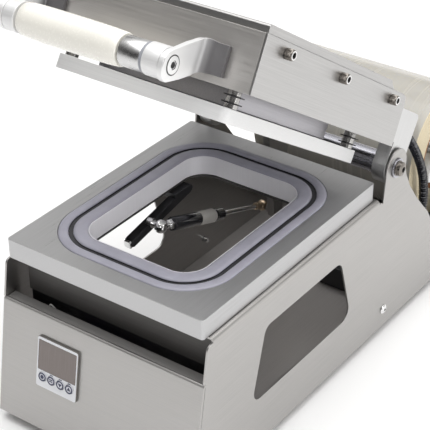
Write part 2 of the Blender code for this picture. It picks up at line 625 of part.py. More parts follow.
def build_cross_shaft(head, look):
    """Shaft that ties both levers, and the crank that the gas spring pushes."""
    end = LEVER_IN - GAP
    shaft = turned([(-end, 12.0), (end, 12.0)], "x", (0, PIVOT_Y, PIVOT_Z), 24)
    add_piece("cross_shaft", shaft, head, look["chrome"])
    y, z = turn_point(*SPRING_REAR, OPEN_ANGLE)
    reach = hypot(y - PIVOT_Y, z - PIVOT_Z)
    outline = arc((0.0, 0.0), 19.0, 0, 180, 12) + arc((0.0, -reach), 8.0, 180, 360, 8)
    bore = circle((0.0, 0.0), 12.4, 24)
    crank = prism(outline, -30.0, -22.0, "x", [bore])
    turn = atan2(y - PIVOT_Y, -(z - PIVOT_Z))
    crank.transform(Matrix.Translation((0, PIVOT_Y, PIVOT_Z)) @ Matrix.Rotation(turn, 4, "X"))
    piece = add_piece("spring_crank", crank, head, look["steel"])
    stud = [(-36.5, 4.0), (-33.0, 4.0), (-33.0, 5.0), (-31.0, 5.0), (-28.0, 5.0)]
    merge_or_cut(piece, turned(stud, "x", (0, y, z), 16), "UNION")


def build_handle(head, look):
    """Two flat arms with bent feet, the rod between them, and what is threaded on it."""
    arms = (("handle_arm_right", 1, ARM_OUT), ("handle_arm_left", -1, 109.0))
    rise = radians(23.0)
    tip = 14.0
    face = HEAD_FRONT - GAP
    for name, side, outer in arms:
        reach = face - 14.0 - HANDLE_Y
        lift = reach * tan(rise)
        outline = arc((HANDLE_Y, HANDLE_Z), tip, 90 + degrees(rise), 270 + degrees(rise), 12)
        outline += [(face - 14.0, HANDLE_Z + lift - tip / cos(rise)), (face - 6.0, HANDLE_Z + 4.0),
                    (face - 6.0, HANDLE_Z + 30.0), (face - 14.0, HANDLE_Z + lift + tip / cos(rise))]
        inner = outer - ARM_THICK
        bore = circle((HANDLE_Y, HANDLE_Z), 3.2, 12)
        arm = prism(outline, inner, outer, "x", [bore])
        foot_end = outer + 19.0 if side > 0 else outer - 24.0
        foot = foot_outline(inner, outer, foot_end, face)
        piece = add_piece(name, mirrored(arm) if side < 0 else arm, head, look["steel"])
        sole = prism(foot, HANDLE_Z + 3.0, HANDLE_Z + 29.0, "z")
        for vert in sole.verts:
            vert.co.y = skewed(vert.co.y, vert.co.z)
        merge_or_cut(piece, mirrored(sole) if side < 0 else sole, "UNION")
    build_handle_turnings(head, look)


def foot_outline(inner, outer, foot_end, face):
    """Plan of an arm's foot, bent flat against the front of the cover."""
    back = face - ARM_THICK + 1.0
    if foot_end > outer:
        return ([(inner, face - 12.0), (inner, face - 7.0)]
                + arc((inner + 7.0, face - 7.0), 7.0, 180, 90, 5)[1:]
                + [(foot_end, face), (foot_end, back), (outer + 3.0, back)]
                + arc((outer + 3.0, face - 7.0), 3.0, 90, 180, 3)[1:] + [(outer, face - 12.0)])
    return [(inner, face - 12.0), (inner, back), (foot_end, back), (foot_end, face), (outer - 2.0, face),
            (outer, face - 2.0), (outer, face - 12.0)]


def build_handle_turnings(head, look):
    centre = (0, HANDLE_Y, HANDLE_Z)
    inner = ARM_OUT - ARM_THICK - GAP
    boss = [(43.5, 6.4), (inner, 6.4), (inner, 13.4), (inner - 0.6, 13.8), (44.0, 13.8), (43.5, 13.4)]
    add_piece("handle_boss_right", turned(boss, "x", centre, 24, ring=True), head, look["aluminium"])
    start, end = GRIP_RANGE[1] + 1.5, 43.2
    collar = [(start, 6.4), (end, 6.4), (end, 12.2), (40.5, 12.2), (40.5, 13.0), (start, 13.0)]
    add_piece("handle_collar", turned(collar, "x", centre, 24, ring=True), head, look["chrome"])
    rod_end = ARM_OUT - ARM_THICK - GAP
    rod = [(-103.7, 13.4), (-103.1, 13.8), (-91.6, 13.8), (-91.0, 13.4), (-91.0, 6.0), (rod_end, 6.0)]
    add_piece("handle_rod", turned(rod, "x", centre, 24), head, look["aluminium"])
    start = ARM_OUT + GAP
    screw = [(rod_end + GAP, 2.9), (start, 2.9), (start, 8.4), (start + 1.0, 8.4), (start + 1.4, 8.0)]
    add_piece("handle_screw_right", turned(screw, "x", centre, 20), head, look["chrome"])
    spin = make_frame("grip_axis", 0.0, HANDLE_Y, HANDLE_Z, parent=head)
    low, high = GRIP_RANGE
    grip = [(low, 6.5), (high, 6.5), (high, 13.6), (high - 1.0, 14.5), (high - 24.0, 15.4),
            (low + 24.0, 15.4), (low + 1.0, 14.5), (low, 13.6)]
    add_piece("handle_grip", turned(grip, "x", centre, 28, ring=True), spin, look["white_plastic"])


def build_side_screws(head, look):
    """Knurled socket-cap screws through the cover's sides."""
    names = ("front", "middle", "rear")
    for side, side_name in ((1, "right"), (-1, "left")):
        for name, (y, z) in zip(names, SIDE_SCREWS):
            start = HEAD_HALF + GAP
            end = start + 7.2
            profile = [(start - 14.0, 2.9), (start, 2.9), (start, 5.0), (end - 0.6, 5.0), (end, 4.4),
                       (end, 2.6), (end - 3.2, 2.4)]
            screw = turned(profile, "x", (0.0, y, z), 16)
            screw = mirrored(screw) if side < 0 else screw
            add_piece(f"side_screw_{name}_{side_name}", screw, head, look["chrome"])


def build_heater(head, look):
    """Press plate, heater block and guide bolts, which float in the head as one."""
    slide = make_frame("heater_axis", 0.0, TRAY_MID, PRESS_LOW, parent=head)
    outline = rounded_rectangle((-PRESS_HALF, PRESS_FRONT), (PRESS_HALF, PRESS_BACK), 7.0, 5)
    add_piece("press_plate", prism(outline, PRESS_LOW, PRESS_HIGH, "z"), slide, look["aluminium"])
    block = box((-72.0, 51.0, PRESS_HIGH + GAP), (72.0, 228.0, 28.0))
    add_piece("heater_block", block, slide, look["aluminium"])
    ends = (("left", -GUIDE_X), ("right", GUIDE_X))
    rows = (("front", GUIDE_Y[0]), ("rear", GUIDE_Y[1]))
    low = PRESS_HIGH + GAP
    for side_name, x in ends:
        for row_name, y in rows:
            profile = [(low, 6.0), (low + 2.0, 6.0), (low + 2.0, 9.5), (low + 3.5, 9.5), (low + 3.5, 6.0),
                       (low + 9.0, 6.0), (low + 9.0, 8.6), (low + 10.2, 8.6), (low + 10.2, 6.0), (58.0, 6.0)]
            bolt = turned(profile, "z", (x, y, 0.0), 18)
            add_piece(f"guide_bolt_{row_name}_{side_name}", bolt, slide, look["chrome"])


# ---- gas spring ----------------------------------------------------------------------
def build_gas_spring(look):
    """Cylinder on the front ball stud; its rod reaches back to the crank."""
    dy, dz = SPRING_REAR[0] - SPRING_FRONT[0], SPRING_REAR[1] - SPRING_FRONT[1]
    length = hypot(dy, dz)
    x, y, z = SPRING_X, *SPRING_FRONT
    swing = make_frame("spring_axis", x, y, z, tilt=atan2(dz, dy))
    body = [(9.0, 4.0), (18.0, 4.0), (18.0, 6.6), (22.0, 7.0), (104.0, 7.0), (106.0, 6.0), (106.0, 2.8),
            (24.0, 2.8)]
    cylinder = turned([(y + along, radius) for along, radius in body], "y", (x, 0.0, z), 20)
    piece = add_piece("gas_cylinder", cylinder, swing, look["black_plastic"])
    socket = rounded_rectangle((y - 6.6, z - 6.6), (y + 10.5, z + 6.6), 3.0, 3)
    merge_or_cut(piece, prism(socket, x - 3.0, x + 7.0, "x"), "UNION")
    cup = [(-60.0, 5.6), (x + 4.4, 5.6)]
    merge_or_cut(piece, turned(cup, "x", (0.0, y, z), 16), "DIFFERENCE")
    rod_slide = make_frame("rod_axis", x, y, z, parent=swing)
    rod_profile = [(46.0, 2.4), (length - 10.0, 2.4), (length - 10.0, 4.0), (length + 6.0, 5.0)]
    rod = turned([(y + along, radius) for along, radius in rod_profile], "y", (x, 0.0, z), 16)
    add_piece("gas_rod", rod, rod_slide, look["chrome"])


def main():
    for old in list(bpy.data.objects):
        bpy.data.objects.remove(old, do_unlink=True)
    look = make_materials()
    base = make_frame("base_frame", 0.0, 0.0, 0.0)
    build_side_panels(base, look)
    build_deck(base, look)
    build_front_panel(base, look)
    build_rear_and_bottom(base, look)
    build_mould_plate(base, look)
    build_seals(base, look)
    build_controller(base, look)
    build_feet(base, look)
    build_roll(base, look)
    build_rear_fittings(base, look)
    build_spring_beam(base, look)
    build_power_relay(base, look)
    build_panel_screws(base, look)
    build_pivot_bolts(base, look)
    build_conduit(base, look)
    head = make_frame("head_axis", 0.0, PIVOT_Y, PIVOT_Z, tilt=-OPEN_ANGLE)
    build_head_cover(head, look)
    build_head_lid(head, look)
    build_carrier(head, look)
    build_levers(head, look)
    build_cross_shaft(head, look)
    build_handle(head, look)
    build_side_screws(head, look)
    build_heater(head, look)
    build_gas_spring(look)


main()
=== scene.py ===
"""Looks of the tabletop tray sealer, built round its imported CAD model.

Shapes are drawn in millimetres in a few local frames: the base frame has its origin at the front
top edge of the mould plate, the head frame is the same one turned open about the hinge, and the
spring and controller have frames of their own.  Each piece keeps its frame as its object matrix,
so a brushed surface runs along the piece's own axes.
"""

import json
import random
from math import atan2, cos, hypot, pi, radians, sin, sqrt, tan

import bpy
import bmesh
from mathutils import Matrix, Vector
from mathutils.geometry import tessellate_polygon


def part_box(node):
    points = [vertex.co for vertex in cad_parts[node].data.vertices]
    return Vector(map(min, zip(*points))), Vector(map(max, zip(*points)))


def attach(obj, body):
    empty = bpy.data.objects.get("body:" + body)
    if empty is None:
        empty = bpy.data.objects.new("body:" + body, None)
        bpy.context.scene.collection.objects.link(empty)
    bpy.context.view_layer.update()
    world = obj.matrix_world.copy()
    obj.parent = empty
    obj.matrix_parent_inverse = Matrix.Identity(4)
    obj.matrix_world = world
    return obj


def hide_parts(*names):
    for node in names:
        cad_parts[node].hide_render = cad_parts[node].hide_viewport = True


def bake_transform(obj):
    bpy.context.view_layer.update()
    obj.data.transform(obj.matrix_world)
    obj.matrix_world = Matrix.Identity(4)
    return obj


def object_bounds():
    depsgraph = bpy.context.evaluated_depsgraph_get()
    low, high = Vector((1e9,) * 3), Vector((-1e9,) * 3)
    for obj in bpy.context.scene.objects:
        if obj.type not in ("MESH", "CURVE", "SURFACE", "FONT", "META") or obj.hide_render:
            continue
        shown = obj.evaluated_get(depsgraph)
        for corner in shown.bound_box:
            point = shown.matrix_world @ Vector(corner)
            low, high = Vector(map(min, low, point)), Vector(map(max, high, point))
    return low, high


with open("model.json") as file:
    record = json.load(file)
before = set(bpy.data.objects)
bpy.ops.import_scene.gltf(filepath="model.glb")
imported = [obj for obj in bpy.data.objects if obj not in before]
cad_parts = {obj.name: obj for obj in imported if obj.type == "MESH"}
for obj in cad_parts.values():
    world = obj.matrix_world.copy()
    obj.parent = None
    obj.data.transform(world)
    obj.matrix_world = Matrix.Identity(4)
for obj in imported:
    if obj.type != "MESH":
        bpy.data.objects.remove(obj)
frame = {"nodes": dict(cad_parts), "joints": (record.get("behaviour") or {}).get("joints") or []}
cad_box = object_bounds()

MM = 0.001
JOINTS = {joint["name"]: joint for joint in frame["joints"]}


def corners(node):
    """Lowest and highest corner of a CAD solid's box, in metres."""
    return tuple(Vector(corner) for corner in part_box(node))


# ---- places read from the frame ------------------------------------------------------
PLATE_LOW, PLATE_HIGH = corners("mould_plate")
ORIGIN = Vector((0.0, PLATE_LOW.y, PLATE_HIGH.z))
HINGE = Vector(JOINTS["head_hinge"]["pos_m"])
OPEN_ANGLE = radians(JOINTS["head_hinge"]["range_deg"][1])
SPRING_FRONT = Vector(JOINTS["spring_swing"]["pos_m"])
ROD_AXIS = Vector(JOINTS["rod_slide"]["axis"])
KEY_AXIS = Vector(JOINTS["key_1_press"]["axis"])
ROLL_AXIS = Vector(JOINTS["roll_spin"]["pos_m"])
HALF_WIDTH = corners("side_panel_right")[1].x / MM

BASE = Matrix.Translation(ORIGIN)
HEAD = (Matrix.Translation(HINGE) @ Matrix.Rotation(-OPEN_ANGLE, 4, "X")
        @ Matrix.Translation(ORIGIN - HINGE))
SPRING = Matrix.Translation(SPRING_FRONT) @ Matrix.Rotation(atan2(ROD_AXIS.z, ROD_AXIS.y), 4, "X")
CASE_LOW, CASE_HIGH = corners("controller_case")
LEAN = atan2(KEY_AXIS.z, KEY_AXIS.y)

# ---- sizes in millimetres ------------------------------------------------------------
GAP = 0.3                                           # between neighbouring solids
TRAY_MID = 137.0
TRAY_HALF = (64.0, 91.5)
TRAY_CORNER = 24.0
INNER_SEAL = (1.0, 14.5)
OUTER_SEAL = (19.0, 28.5)
PLATE_HALF, PLATE_DEPTH, PLATE_THICK = 110.0, 278.0, 20.0
SHADE_SCREEN_TOP = -63.3
CONTROL_HALF = (24.25, 26.0)
CONTROL_WINDOW = ((-23.1, -8.6), (23.1, 23.6))
KEY_HEIGHT = -14.4
BEZEL_DEPTH, BACK_DEPTH, BODY_DEPTH = (-2.6, -1.05), (-1.0, -0.3), (-0.2, 55.0)
PANE_DEPTH, SURROUND_DEPTH, PRINT_DEPTH = (-2.5, -1.2), (-2.85, -2.62), (-3.0, -2.88)
KEY_DEPTH, KEY_PRINT_DEPTH = (-3.8, -1.9), (-3.92, -3.77)
SEAL_LOW, SEAL_TOP = -2.2, 1.5
HEAD_HALF = 113.8
HEAD_LOW, HEAD_TOP = 20.5, 71.0
HEAD_FRONT, HEAD_BACK, HEAD_SKEW = 2.0, 287.0, 0.075
HANDLE_Y, HANDLE_Z = -42.3, 23.7
ARM_OUT, ARM_THICK = 65.0, 5.0
ARM_TIP, ARM_BEND, ARM_FOOT = 14.0, 13.0, 21.0      # radii of its end and bend, and how far it turns out
ARM_RISE = radians(23.0)
ARM_FOOT_LOW, ARM_FOOT_HIGH = 3.0, 29.0             # above the middle of the handle
GRIP_RANGE = (-88.0, 17.6)
PIVOT_Y, PIVOT_Z = 311.0, 3.0
CROSS_SHAFT_HALF = 96.2
SIDE_SCREWS = {"front": (35.7, 62.0), "middle": (141.4, 62.0), "rear": (250.6, 62.0)}
PANEL_SCREW = (302.0, -160.0)
BEAM_X, BEAM_FRONT, BEAM_REAR = -62.5, (117.0, -47.0), (206.0, -29.6)
GUIDE_X = 84.5
GUIDE_Y = {"front": 27.0, "rear": 252.0}
PRESS_HIGH = 5.8
ROLL_RADIUS, CORE_RADIUS, CORE_WALL = 71.0, 42.0, 4.0
ROLL_RANGE = (-103.0, 93.0)
FOOT_X = (-88.0, 88.0)
FOOT_Y = {"front": 16.0, "rear": 452.0}
CONDUIT_ROUTE = (
    (84.0, 317.0, 58.0), (86.0, 335.0, 48.0), (90.0, 352.0, 29.0), (95.0, 366.0, 7.0), (99.0, 380.0, -16.0),
    (102.0, 391.0, -42.0), (103.0, 396.0, -66.0), (103.0, 396.0, -90.0), (101.0, 388.0, -115.0),
    (96.0, 374.0, -140.0), (90.0, 358.0, -160.0),
)
EYE_OVERHANG = 7.0                                  # from the rear ball joint to the end of the CAD rod
CAMERA_PLACE = (684.87, -768.70, 698.76)
CAMERA_TURN = (36.16, 31.79, 0.34)                  # yaw, pitch down and roll in degrees


# ---- materials -----------------------------------------------------------------------
class Look:
    """A Principled material with the few nodes that each finish needs."""

    def __init__(self, name, colour, roughness, metallic=0.0, coat=0.0):
        self.material = bpy.data.materials.new(name)
        self.material.use_nodes = True
        self.tree = self.material.node_tree
        self.shader = self.tree.nodes["Principled BSDF"]
        self.shader.inputs["Base Color"].default_value = (*colour, 1.0)
        self.shader.inputs["Roughness"].default_value = roughness
        self.shader.inputs["Metallic"].default_value = metallic
        self.shader.inputs["Coat Weight"].default_value = coat
        self.colour = colour
        self.roughness = roughness

    def node(self, kind, **settings):
        made = self.tree.nodes.new(kind)
        for name, value in settings.items():
            if name in made.inputs:
                made.inputs[name].default_value = value
            else:
                setattr(made, name, value)
        return made

    def link(self, source, target):
        self.tree.links.new(source, target)

    def place(self, scale):
        """Object coordinates stretched by a scale along each axis."""
        coordinates = self.node("ShaderNodeTexCoord")
        mapping = self.node("ShaderNodeMapping")
        mapping.inputs["Scale"].default_value = scale
        self.link(coordinates.outputs["Object"], mapping.inputs["Vector"])
        return mapping.outputs["Vector"]

    def noise(self, scale, detail=3.0):
        """Noise in cycles per metre along each axis."""
        noise = self.node("ShaderNodeTexNoise", Scale=1.0, Detail=detail, Roughness=0.6)
        self.link(self.place(scale), noise.inputs["Vector"])
        return noise.outputs["Fac"]

    def remap(self, value, low, high, start=0.3, end=0.7, ease="LINEAR"):
        """A value going from low to high while another goes from start to end."""
        remap = self.node("ShaderNodeMapRange", interpolation_type=ease)
        remap.inputs["From Min"].default_value = start
        remap.inputs["From Max"].default_value = end
        remap.inputs["To Min"].default_value = low
        remap.inputs["To Max"].default_value = high
        self.link(value, remap.inputs["Value"])
        return remap.outputs["Result"]

    def shade(self, value, amount, tint=(1.0, 1.0, 1.0)):
        """Vary the base colour between darker and lighter by amount."""
        ramp = self.node("ShaderNodeValToRGB")
        dark = [channel * (1 - amount) for channel in self.colour]
        light = [min(1.0, channel * (1 + amount) * warm) for channel, warm in zip(self.colour, tint)]
        ramp.color_ramp.elements[0].position = 0.3
        ramp.color_ramp.elements[1].position = 0.7
        ramp.color_ramp.elements[0].color = (*dark, 1.0)
        ramp.color_ramp.elements[1].color = (*light, 1.0)
        self.link(value, ramp.inputs["Fac"])
        self.link(ramp.outputs["Color"], self.shader.inputs["Base Color"])

    def rough(self, value, spread):
        result = self.remap(value, self.roughness - spread, self.roughness + spread)
        self.link(result, self.shader.inputs["Roughness"])

    def bump(self, value, height):
        """Bump of a height in millimetres."""
        bump = self.node("ShaderNodeBump", Distance=height * MM, Strength=1.0)
        self.link(value, bump.inputs["Height"])
        self.link(bump.outputs["Normal"], self.shader.inputs["Normal"])


def brushed(name, colour, roughness, along, fine=1400.0, depth=0.02, contrast=0.10, metallic=1.0):
    """Brushed metal: long scratches along one axis of the piece, over a slow cloudiness."""
    look = Look(name, colour, roughness, metallic)
    scale = [fine, fine, fine]
    scale["xyz".index(along)] = 14.0
    lines = look.noise(scale, 4.0)
    look.shade(lines, contrast)
    look.rough(lines, 0.07)
    look.bump(lines, depth)
    return look.material


def polished(name, colour, roughness):
    """Bright plated metal with faint turning marks and handling haze."""
    look = Look(name, colour, roughness, 1.0)
    haze = look.noise((60.0, 60.0, 60.0), 5.0)
    look.rough(haze, roughness * 0.4)
    look.shade(haze, 0.04)
    return look.material


def moulded(name, colour, roughness, grain=900.0, depth=0.015, coat=0.0, contrast=0.05):
    """Moulded plastic or rubber: fine grain and slightly uneven gloss."""
    look = Look(name, colour, roughness, 0.0, coat)
    fine = look.noise((grain, grain, grain))
    broad = look.noise((25.0, 25.0, 25.0))
    look.shade(broad, contrast)
    look.rough(fine, 0.06)
    look.bump(fine, depth)
    return look.material


def silicone_look():
    look = Look("silicone_lavender", (0.345, 0.34, 0.40), 0.40)
    look.shader.inputs["Subsurface Weight"].default_value = 0.15
    look.shader.inputs["Subsurface Radius"].default_value = (0.004, 0.004, 0.005)
    look.shader.inputs["Subsurface Scale"].default_value = 1.0
    broad = look.noise((45.0, 45.0, 45.0), 4.0)
    fine = look.noise((700.0, 700.0, 700.0))
    look.shade(broad, 0.08)
    look.rough(fine, 0.08)
    look.bump(fine, 0.03)
    return look.material


def film_look():
    """Wound film seen from outside: glossy, milky, with faint bands round the roll."""
    look = Look("film_wound", (0.42, 0.405, 0.37), 0.26, 0.0, 0.3)
    look.shader.inputs["Subsurface Weight"].default_value = 0.25
    look.shader.inputs["Subsurface Radius"].default_value = (0.012, 0.010, 0.006)
    look.shader.inputs["Subsurface Scale"].default_value = 1.0
    bands = look.noise((160.0, 3.0, 3.0), 4.0)
    look.shade(bands, 0.035, (1.0, 0.99, 0.96))
    look.rough(bands, 0.04)
    look.bump(bands, 0.01)
    return look.material


def film_edge_look():
    """The roll's end, where the edges of the wound film show as fine rings."""
    look = Look("film_edges", (0.66, 0.58, 0.42), 0.45)
    coordinates = look.place((1.0, 1.0, 1.0))
    rings = look.node("ShaderNodeTexWave", wave_type="RINGS", rings_direction="X", Scale=420.0,
                      Distortion=1.2, Detail=3.0)
    rings.inputs["Detail Scale"].default_value = 0.5
    look.link(coordinates, rings.inputs["Vector"])
    look.shade(rings.outputs["Fac"], 0.06, (1.0, 0.98, 0.92))
    look.bump(rings.outputs["Fac"], 0.08)
    return look.material


def cardboard_look():
    look = Look("core_cardboard", (0.30, 0.13, 0.055), 0.85)
    fibres = look.noise((90.0, 900.0, 900.0), 4.0)
    look.shade(fibres, 0.22)
    look.bump(fibres, 0.10)
    return look.material


def arm_look():
    """Handle arm: satin aluminium where it is gripped; round the bend and on the foot its colour darkens to
    painted shade and painted dark reflection, and it grows a little more metallic and rough.
    """
    look = Look("arm_satin_shaded_foot", (0.86, 0.86, 0.86), 0.34)
    split = look.node("ShaderNodeSeparateXYZ")
    look.link(look.place((1.0, 1.0, 1.0)), split.inputs["Vector"])
    bend = ((HEAD_FRONT - 21.0) * MM, (HEAD_FRONT - 5.0) * MM, "SMOOTHSTEP")
    for low, high, target in ((0.40, 0.60, "Metallic"), (0.34, 0.42, "Roughness")):
        look.link(look.remap(split.outputs["Y"], low, high, *bend), look.shader.inputs[target])
    # The ramp's dark end is painted shade on the bend and the foot.
    ramp = look.node("ShaderNodeValToRGB")
    ramp.color_ramp.elements[0].color = (0.84, 0.84, 0.84, 1.0)
    ramp.color_ramp.elements[1].color = (0.14, 0.135, 0.14, 1.0)
    look.link(look.remap(split.outputs["Y"], 0.0, 1.0, *bend), ramp.inputs["Fac"])
    look.link(ramp.outputs["Color"], look.shader.inputs["Base Color"])
    fine = look.noise((500.0, 20.0, 500.0))
    look.bump(fine, 0.004)
    return look.material


def display_look():
    look = Look("display_window", (0.155, 0.125, 0.115), 0.16, 0.0, 0.5)
    lines = look.noise((900.0, 40.0, 40.0), 2.0)
    look.shade(lines, 0.06)
    look.rough(lines, 0.03)
    return look.material


STEEL = (0.42, 0.41, 0.40)
COVER = (0.47, 0.465, 0.46)
LOOKS = {
    "steel_y": brushed("steel_brushed_long", STEEL, 0.36, "y"),
    "steel_x": brushed("steel_brushed_across", STEEL, 0.36, "x"),
    "steel_z": brushed("steel_brushed_up", STEEL, 0.36, "z"),
    "cover_y": brushed("cover_brushed_long", COVER, 0.36, "y"),
    # The cover's front is lighter than its sides, painted light on that face.
    "cover_x": brushed("cover_brushed_across_lightened", (0.62, 0.60, 0.58), 0.40, "x", 1600.0, 0.008, 0.05, 0.85),
    "panel": brushed("panel_brushed_across", (0.44, 0.43, 0.42), 0.38, "x", 1400.0, 0.012, 0.06, 0.75),
    "collar": polished("collar_satin_steel", (0.62, 0.62, 0.62), 0.30),
    "plate": brushed("plate_brushed", (0.47, 0.47, 0.475), 0.34, "y", 1400.0, 0.012, 0.08, 0.93),
    # The tray wall's near-white tone is painted light, lifting it out of the shade under the head.
    "wall": brushed("plate_wall_milled_lightened", (0.82, 0.81, 0.85), 0.50, "z", 900.0, 0.01, 0.02, 0.12),
    "press": brushed("press_plate_brushed", (0.76, 0.76, 0.76), 0.56, "x", 1300.0, 0.02, 0.05, 0.20),
    "block": brushed("heater_block_milled", (0.54, 0.53, 0.56), 0.36, "y", 1100.0, 0.03, 0.10, 0.9),
    # The deck's near-black colour is painted shade: the sheet sits in the shadow under the mould plate.
    "deck": brushed("deck_brushed_painted_shade", (0.085, 0.081, 0.078), 0.42, "x", 1400.0, 0.02, 0.12, 0.35),
    "lever": brushed("lever_brushed", (0.60, 0.60, 0.60), 0.38, "z", 1300.0, 0.03, 0.08),
    "arm": arm_look(),
    "bolt": polished("guide_bolt_steel", (0.42, 0.41, 0.40), 0.22),
    "boss": brushed("boss_brushed", (0.78, 0.78, 0.78), 0.40, "x", 1200.0, 0.01, 0.04, 0.35),
    "pan": brushed("pan_brushed", (0.40, 0.38, 0.37), 0.42, "y", 1200.0, 0.01, 0.08, 0.55),
    "shaft": brushed("shaft_satin", (0.42, 0.42, 0.46), 0.26, "x", 1200.0, 0.01, 0.05),
    "black_steel": moulded("steel_black_and_shade_screen", (0.018, 0.018, 0.020), 0.38, 500.0, 0.03),
    "chrome": polished("chrome_plating", (0.80, 0.80, 0.80), 0.12),
    "steel_dull": polished("screw_steel", (0.24, 0.22, 0.20), 0.26),
    "clip": moulded("clip_black_oxide", (0.015, 0.015, 0.017), 0.45, 600.0, 0.01),
    "brass": polished("joint_bronze", (0.42, 0.33, 0.24), 0.30),
    "silicone": silicone_look(),
    "groove": moulded("groove_shadow", (0.035, 0.035, 0.04), 0.60, 500.0, 0.02),
    "socket": moulded("socket_painted_shade", (0.012, 0.012, 0.012), 0.60, 600.0, 0.01),
    "grip": moulded("grip_cream", (0.84, 0.82, 0.755), 0.25, 500.0, 0.008, 0.35, 0.02),
    "ring": moulded("ring_grey", (0.28, 0.29, 0.32), 0.45),
    # The case's dark grey is partly its own grey and partly painted shade, darkened to the tone of its
    # shaded side.
    "case": moulded("case_grey_shaded", (0.15, 0.14, 0.13), 0.38),
    "band": moulded("key_band_white", (0.74, 0.75, 0.78), 0.40),
    "ink": moulded("key_ink_navy", (0.035, 0.04, 0.085), 0.45),
    "key": moulded("key_white", (0.66, 0.67, 0.72), 0.42),
    "display": display_look(),
    "black": moulded("plastic_black", (0.018, 0.018, 0.020), 0.42),
    "hose": moulded("hose_black", (0.012, 0.012, 0.017), 0.14, 400.0, 0.006, 0.3),
    "tube": moulded("cylinder_black_paint", (0.020, 0.020, 0.024), 0.20, 400.0, 0.006, 0.4),
    "label": moulded("label_plain", (0.62, 0.60, 0.57), 0.50),
    "rubber": moulded("foot_rubber_black", (0.025, 0.025, 0.025), 0.70, 700.0, 0.04),
    "film": film_look(),
    "film_edge": film_edge_look(),
    "cardboard": cardboard_look(),
    "wire_red": moulded("wire_red", (0.22, 0.02, 0.02), 0.40),
    "wire_blue": moulded("wire_blue", (0.02, 0.03, 0.20), 0.40),
    "wire_white": moulded("wire_white", (0.75, 0.75, 0.72), 0.40),
}


# ---- shape tools ---------------------------------------------------------------------
def make_piece(name, shape, place, body, look, replaces=(), bevel=0.0, sharp=30.0, steps=2):
    """A finished piece from a bmesh drawn in millimetres in the frame given by place.

    Faces that the bmesh marks with material index 1 get the near-black socket look, painted shade: the
    walls of screw sockets and the seal flanks down in the groove.
    A piece with no body is left free, to be bent between two bodies.
    """
    shape.transform(Matrix.Scale(MM, 4))
    bmesh.ops.remove_doubles(shape, verts=shape.verts, dist=1e-7)
    bmesh.ops.recalc_face_normals(shape, faces=shape.faces)
    mesh = bpy.data.meshes.new(name)
    shape.to_mesh(mesh)
    shape.free()
    mesh.shade_smooth()
    mesh.set_sharp_from_angle(angle=radians(sharp))
    piece = bpy.data.objects.new(name, mesh)
    bpy.context.collection.objects.link(piece)
    piece.matrix_world = place
    mesh.materials.append(LOOKS[look])
    if any(face.material_index for face in mesh.polygons):
        mesh.materials.append(LOOKS["socket"])
    if bevel:
        round_edges(piece, bevel, steps)
    if body:
        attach(piece, body)
    if replaces:
        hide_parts(*replaces)
    return piece


def round_edges(piece, width, steps):
    bevel = piece.modifiers.new("Edges", "BEVEL")
    bevel.width = width * MM
    bevel.segments = steps
    bevel.limit_method = "ANGLE"
    bevel.angle_limit = radians(35.0)
    bevel.use_clamp_overlap = False
    bevel.harden_normals = True


def refine(node, place, body, look, bevel, steps=2):
    """The CAD solid's own shape, with clean flat faces and rounded edges."""
    shape = bmesh.new()
    shape.from_mesh(frame["nodes"][node].data)
    shape.transform(Matrix.Scale(1 / MM, 4) @ place.inverted())
    bmesh.ops.remove_doubles(shape, verts=shape.verts, dist=0.01)
    bmesh.ops.dissolve_limit(shape, angle_limit=radians(0.2), verts=shape.verts, edges=shape.edges)
    bmesh.ops.triangulate(shape, faces=[face for face in shape.faces if len(face.verts) > 4])
    return make_piece(node + "_shell", shape, place, body, look, (node,), bevel, 30.0, steps)


PLANES = {
    "x": lambda a, b, along: (along, a, b),
    "y": lambda a, b, along: (a, along, b),
    "z": lambda a, b, along: (a, b, along),
}


def prism(outline, low, high, across, holes=()):
    """A bmesh of an outline, with holes, extruded along an axis."""
    shape = bmesh.new()
    add_prism(shape, outline, low, high, across, holes)
    return shape


def add_prism(shape, outline, low, high, across, holes=()):
    loops = [list(outline)] + [list(hole) for hole in holes]
    place = PLANES[across]
    ends = []
    for along in (low, high):
        ends.append([[shape.verts.new(place(a, b, along)) for a, b in loop] for loop in loops])
    triangles = tessellate_polygon([[Vector((a, b, 0.0)) for a, b in loop] for loop in loops])
    for end in ends:
        verts = [vert for loop in end for vert in loop]
        for triangle in triangles:
            shape.faces.new([verts[index] for index in triangle])
    for near, far in zip(*ends):
        for index in range(len(near)):
            after = (index + 1) % len(near)
            shape.faces.new((near[index], near[after], far[after], far[index]))


def arc(centre, radius, start, end, steps=8):
    """Points on an arc, angles in degrees."""
    angles = [radians(start + (end - start) * step / steps) for step in range(steps + 1)]
    return [(centre[0] + radius * cos(angle), centre[1] + radius * sin(angle)) for angle in angles]


def circle(centre, radius, steps=32):
    return arc(centre, radius, 0, 360 - 360 / steps, steps - 1)


def rounded_rectangle(low, high, radius, steps=6):
    (left, bottom), (right, top) = low, high
    points = []
    for x, y, start in ((right, top, 0), (left, top, 90), (left, bottom, 180), (right, bottom, 270)):
        centre = (x - radius if x == right else x + radius, y - radius if y == top else y + radius)
        points += arc(centre, radius, start, start + 90, steps)
    return points


def tray_outline(step):
    """The tray opening's outline moved outwards by step."""
    low = (-TRAY_HALF[0] - step, TRAY_MID - TRAY_HALF[1] - step)
    high = (TRAY_HALF[0] + step, TRAY_MID + TRAY_HALF[1] + step)
    return rounded_rectangle(low, high, TRAY_CORNER + step, 20)


def outline_step(point):
    """How far a point lies outside the tray opening's outline."""
    across = abs(point.x) - TRAY_HALF[0] + TRAY_CORNER
    along = abs(point.y - TRAY_MID) - TRAY_HALF[1] + TRAY_CORNER
    return hypot(max(across, 0.0), max(along, 0.0)) - TRAY_CORNER


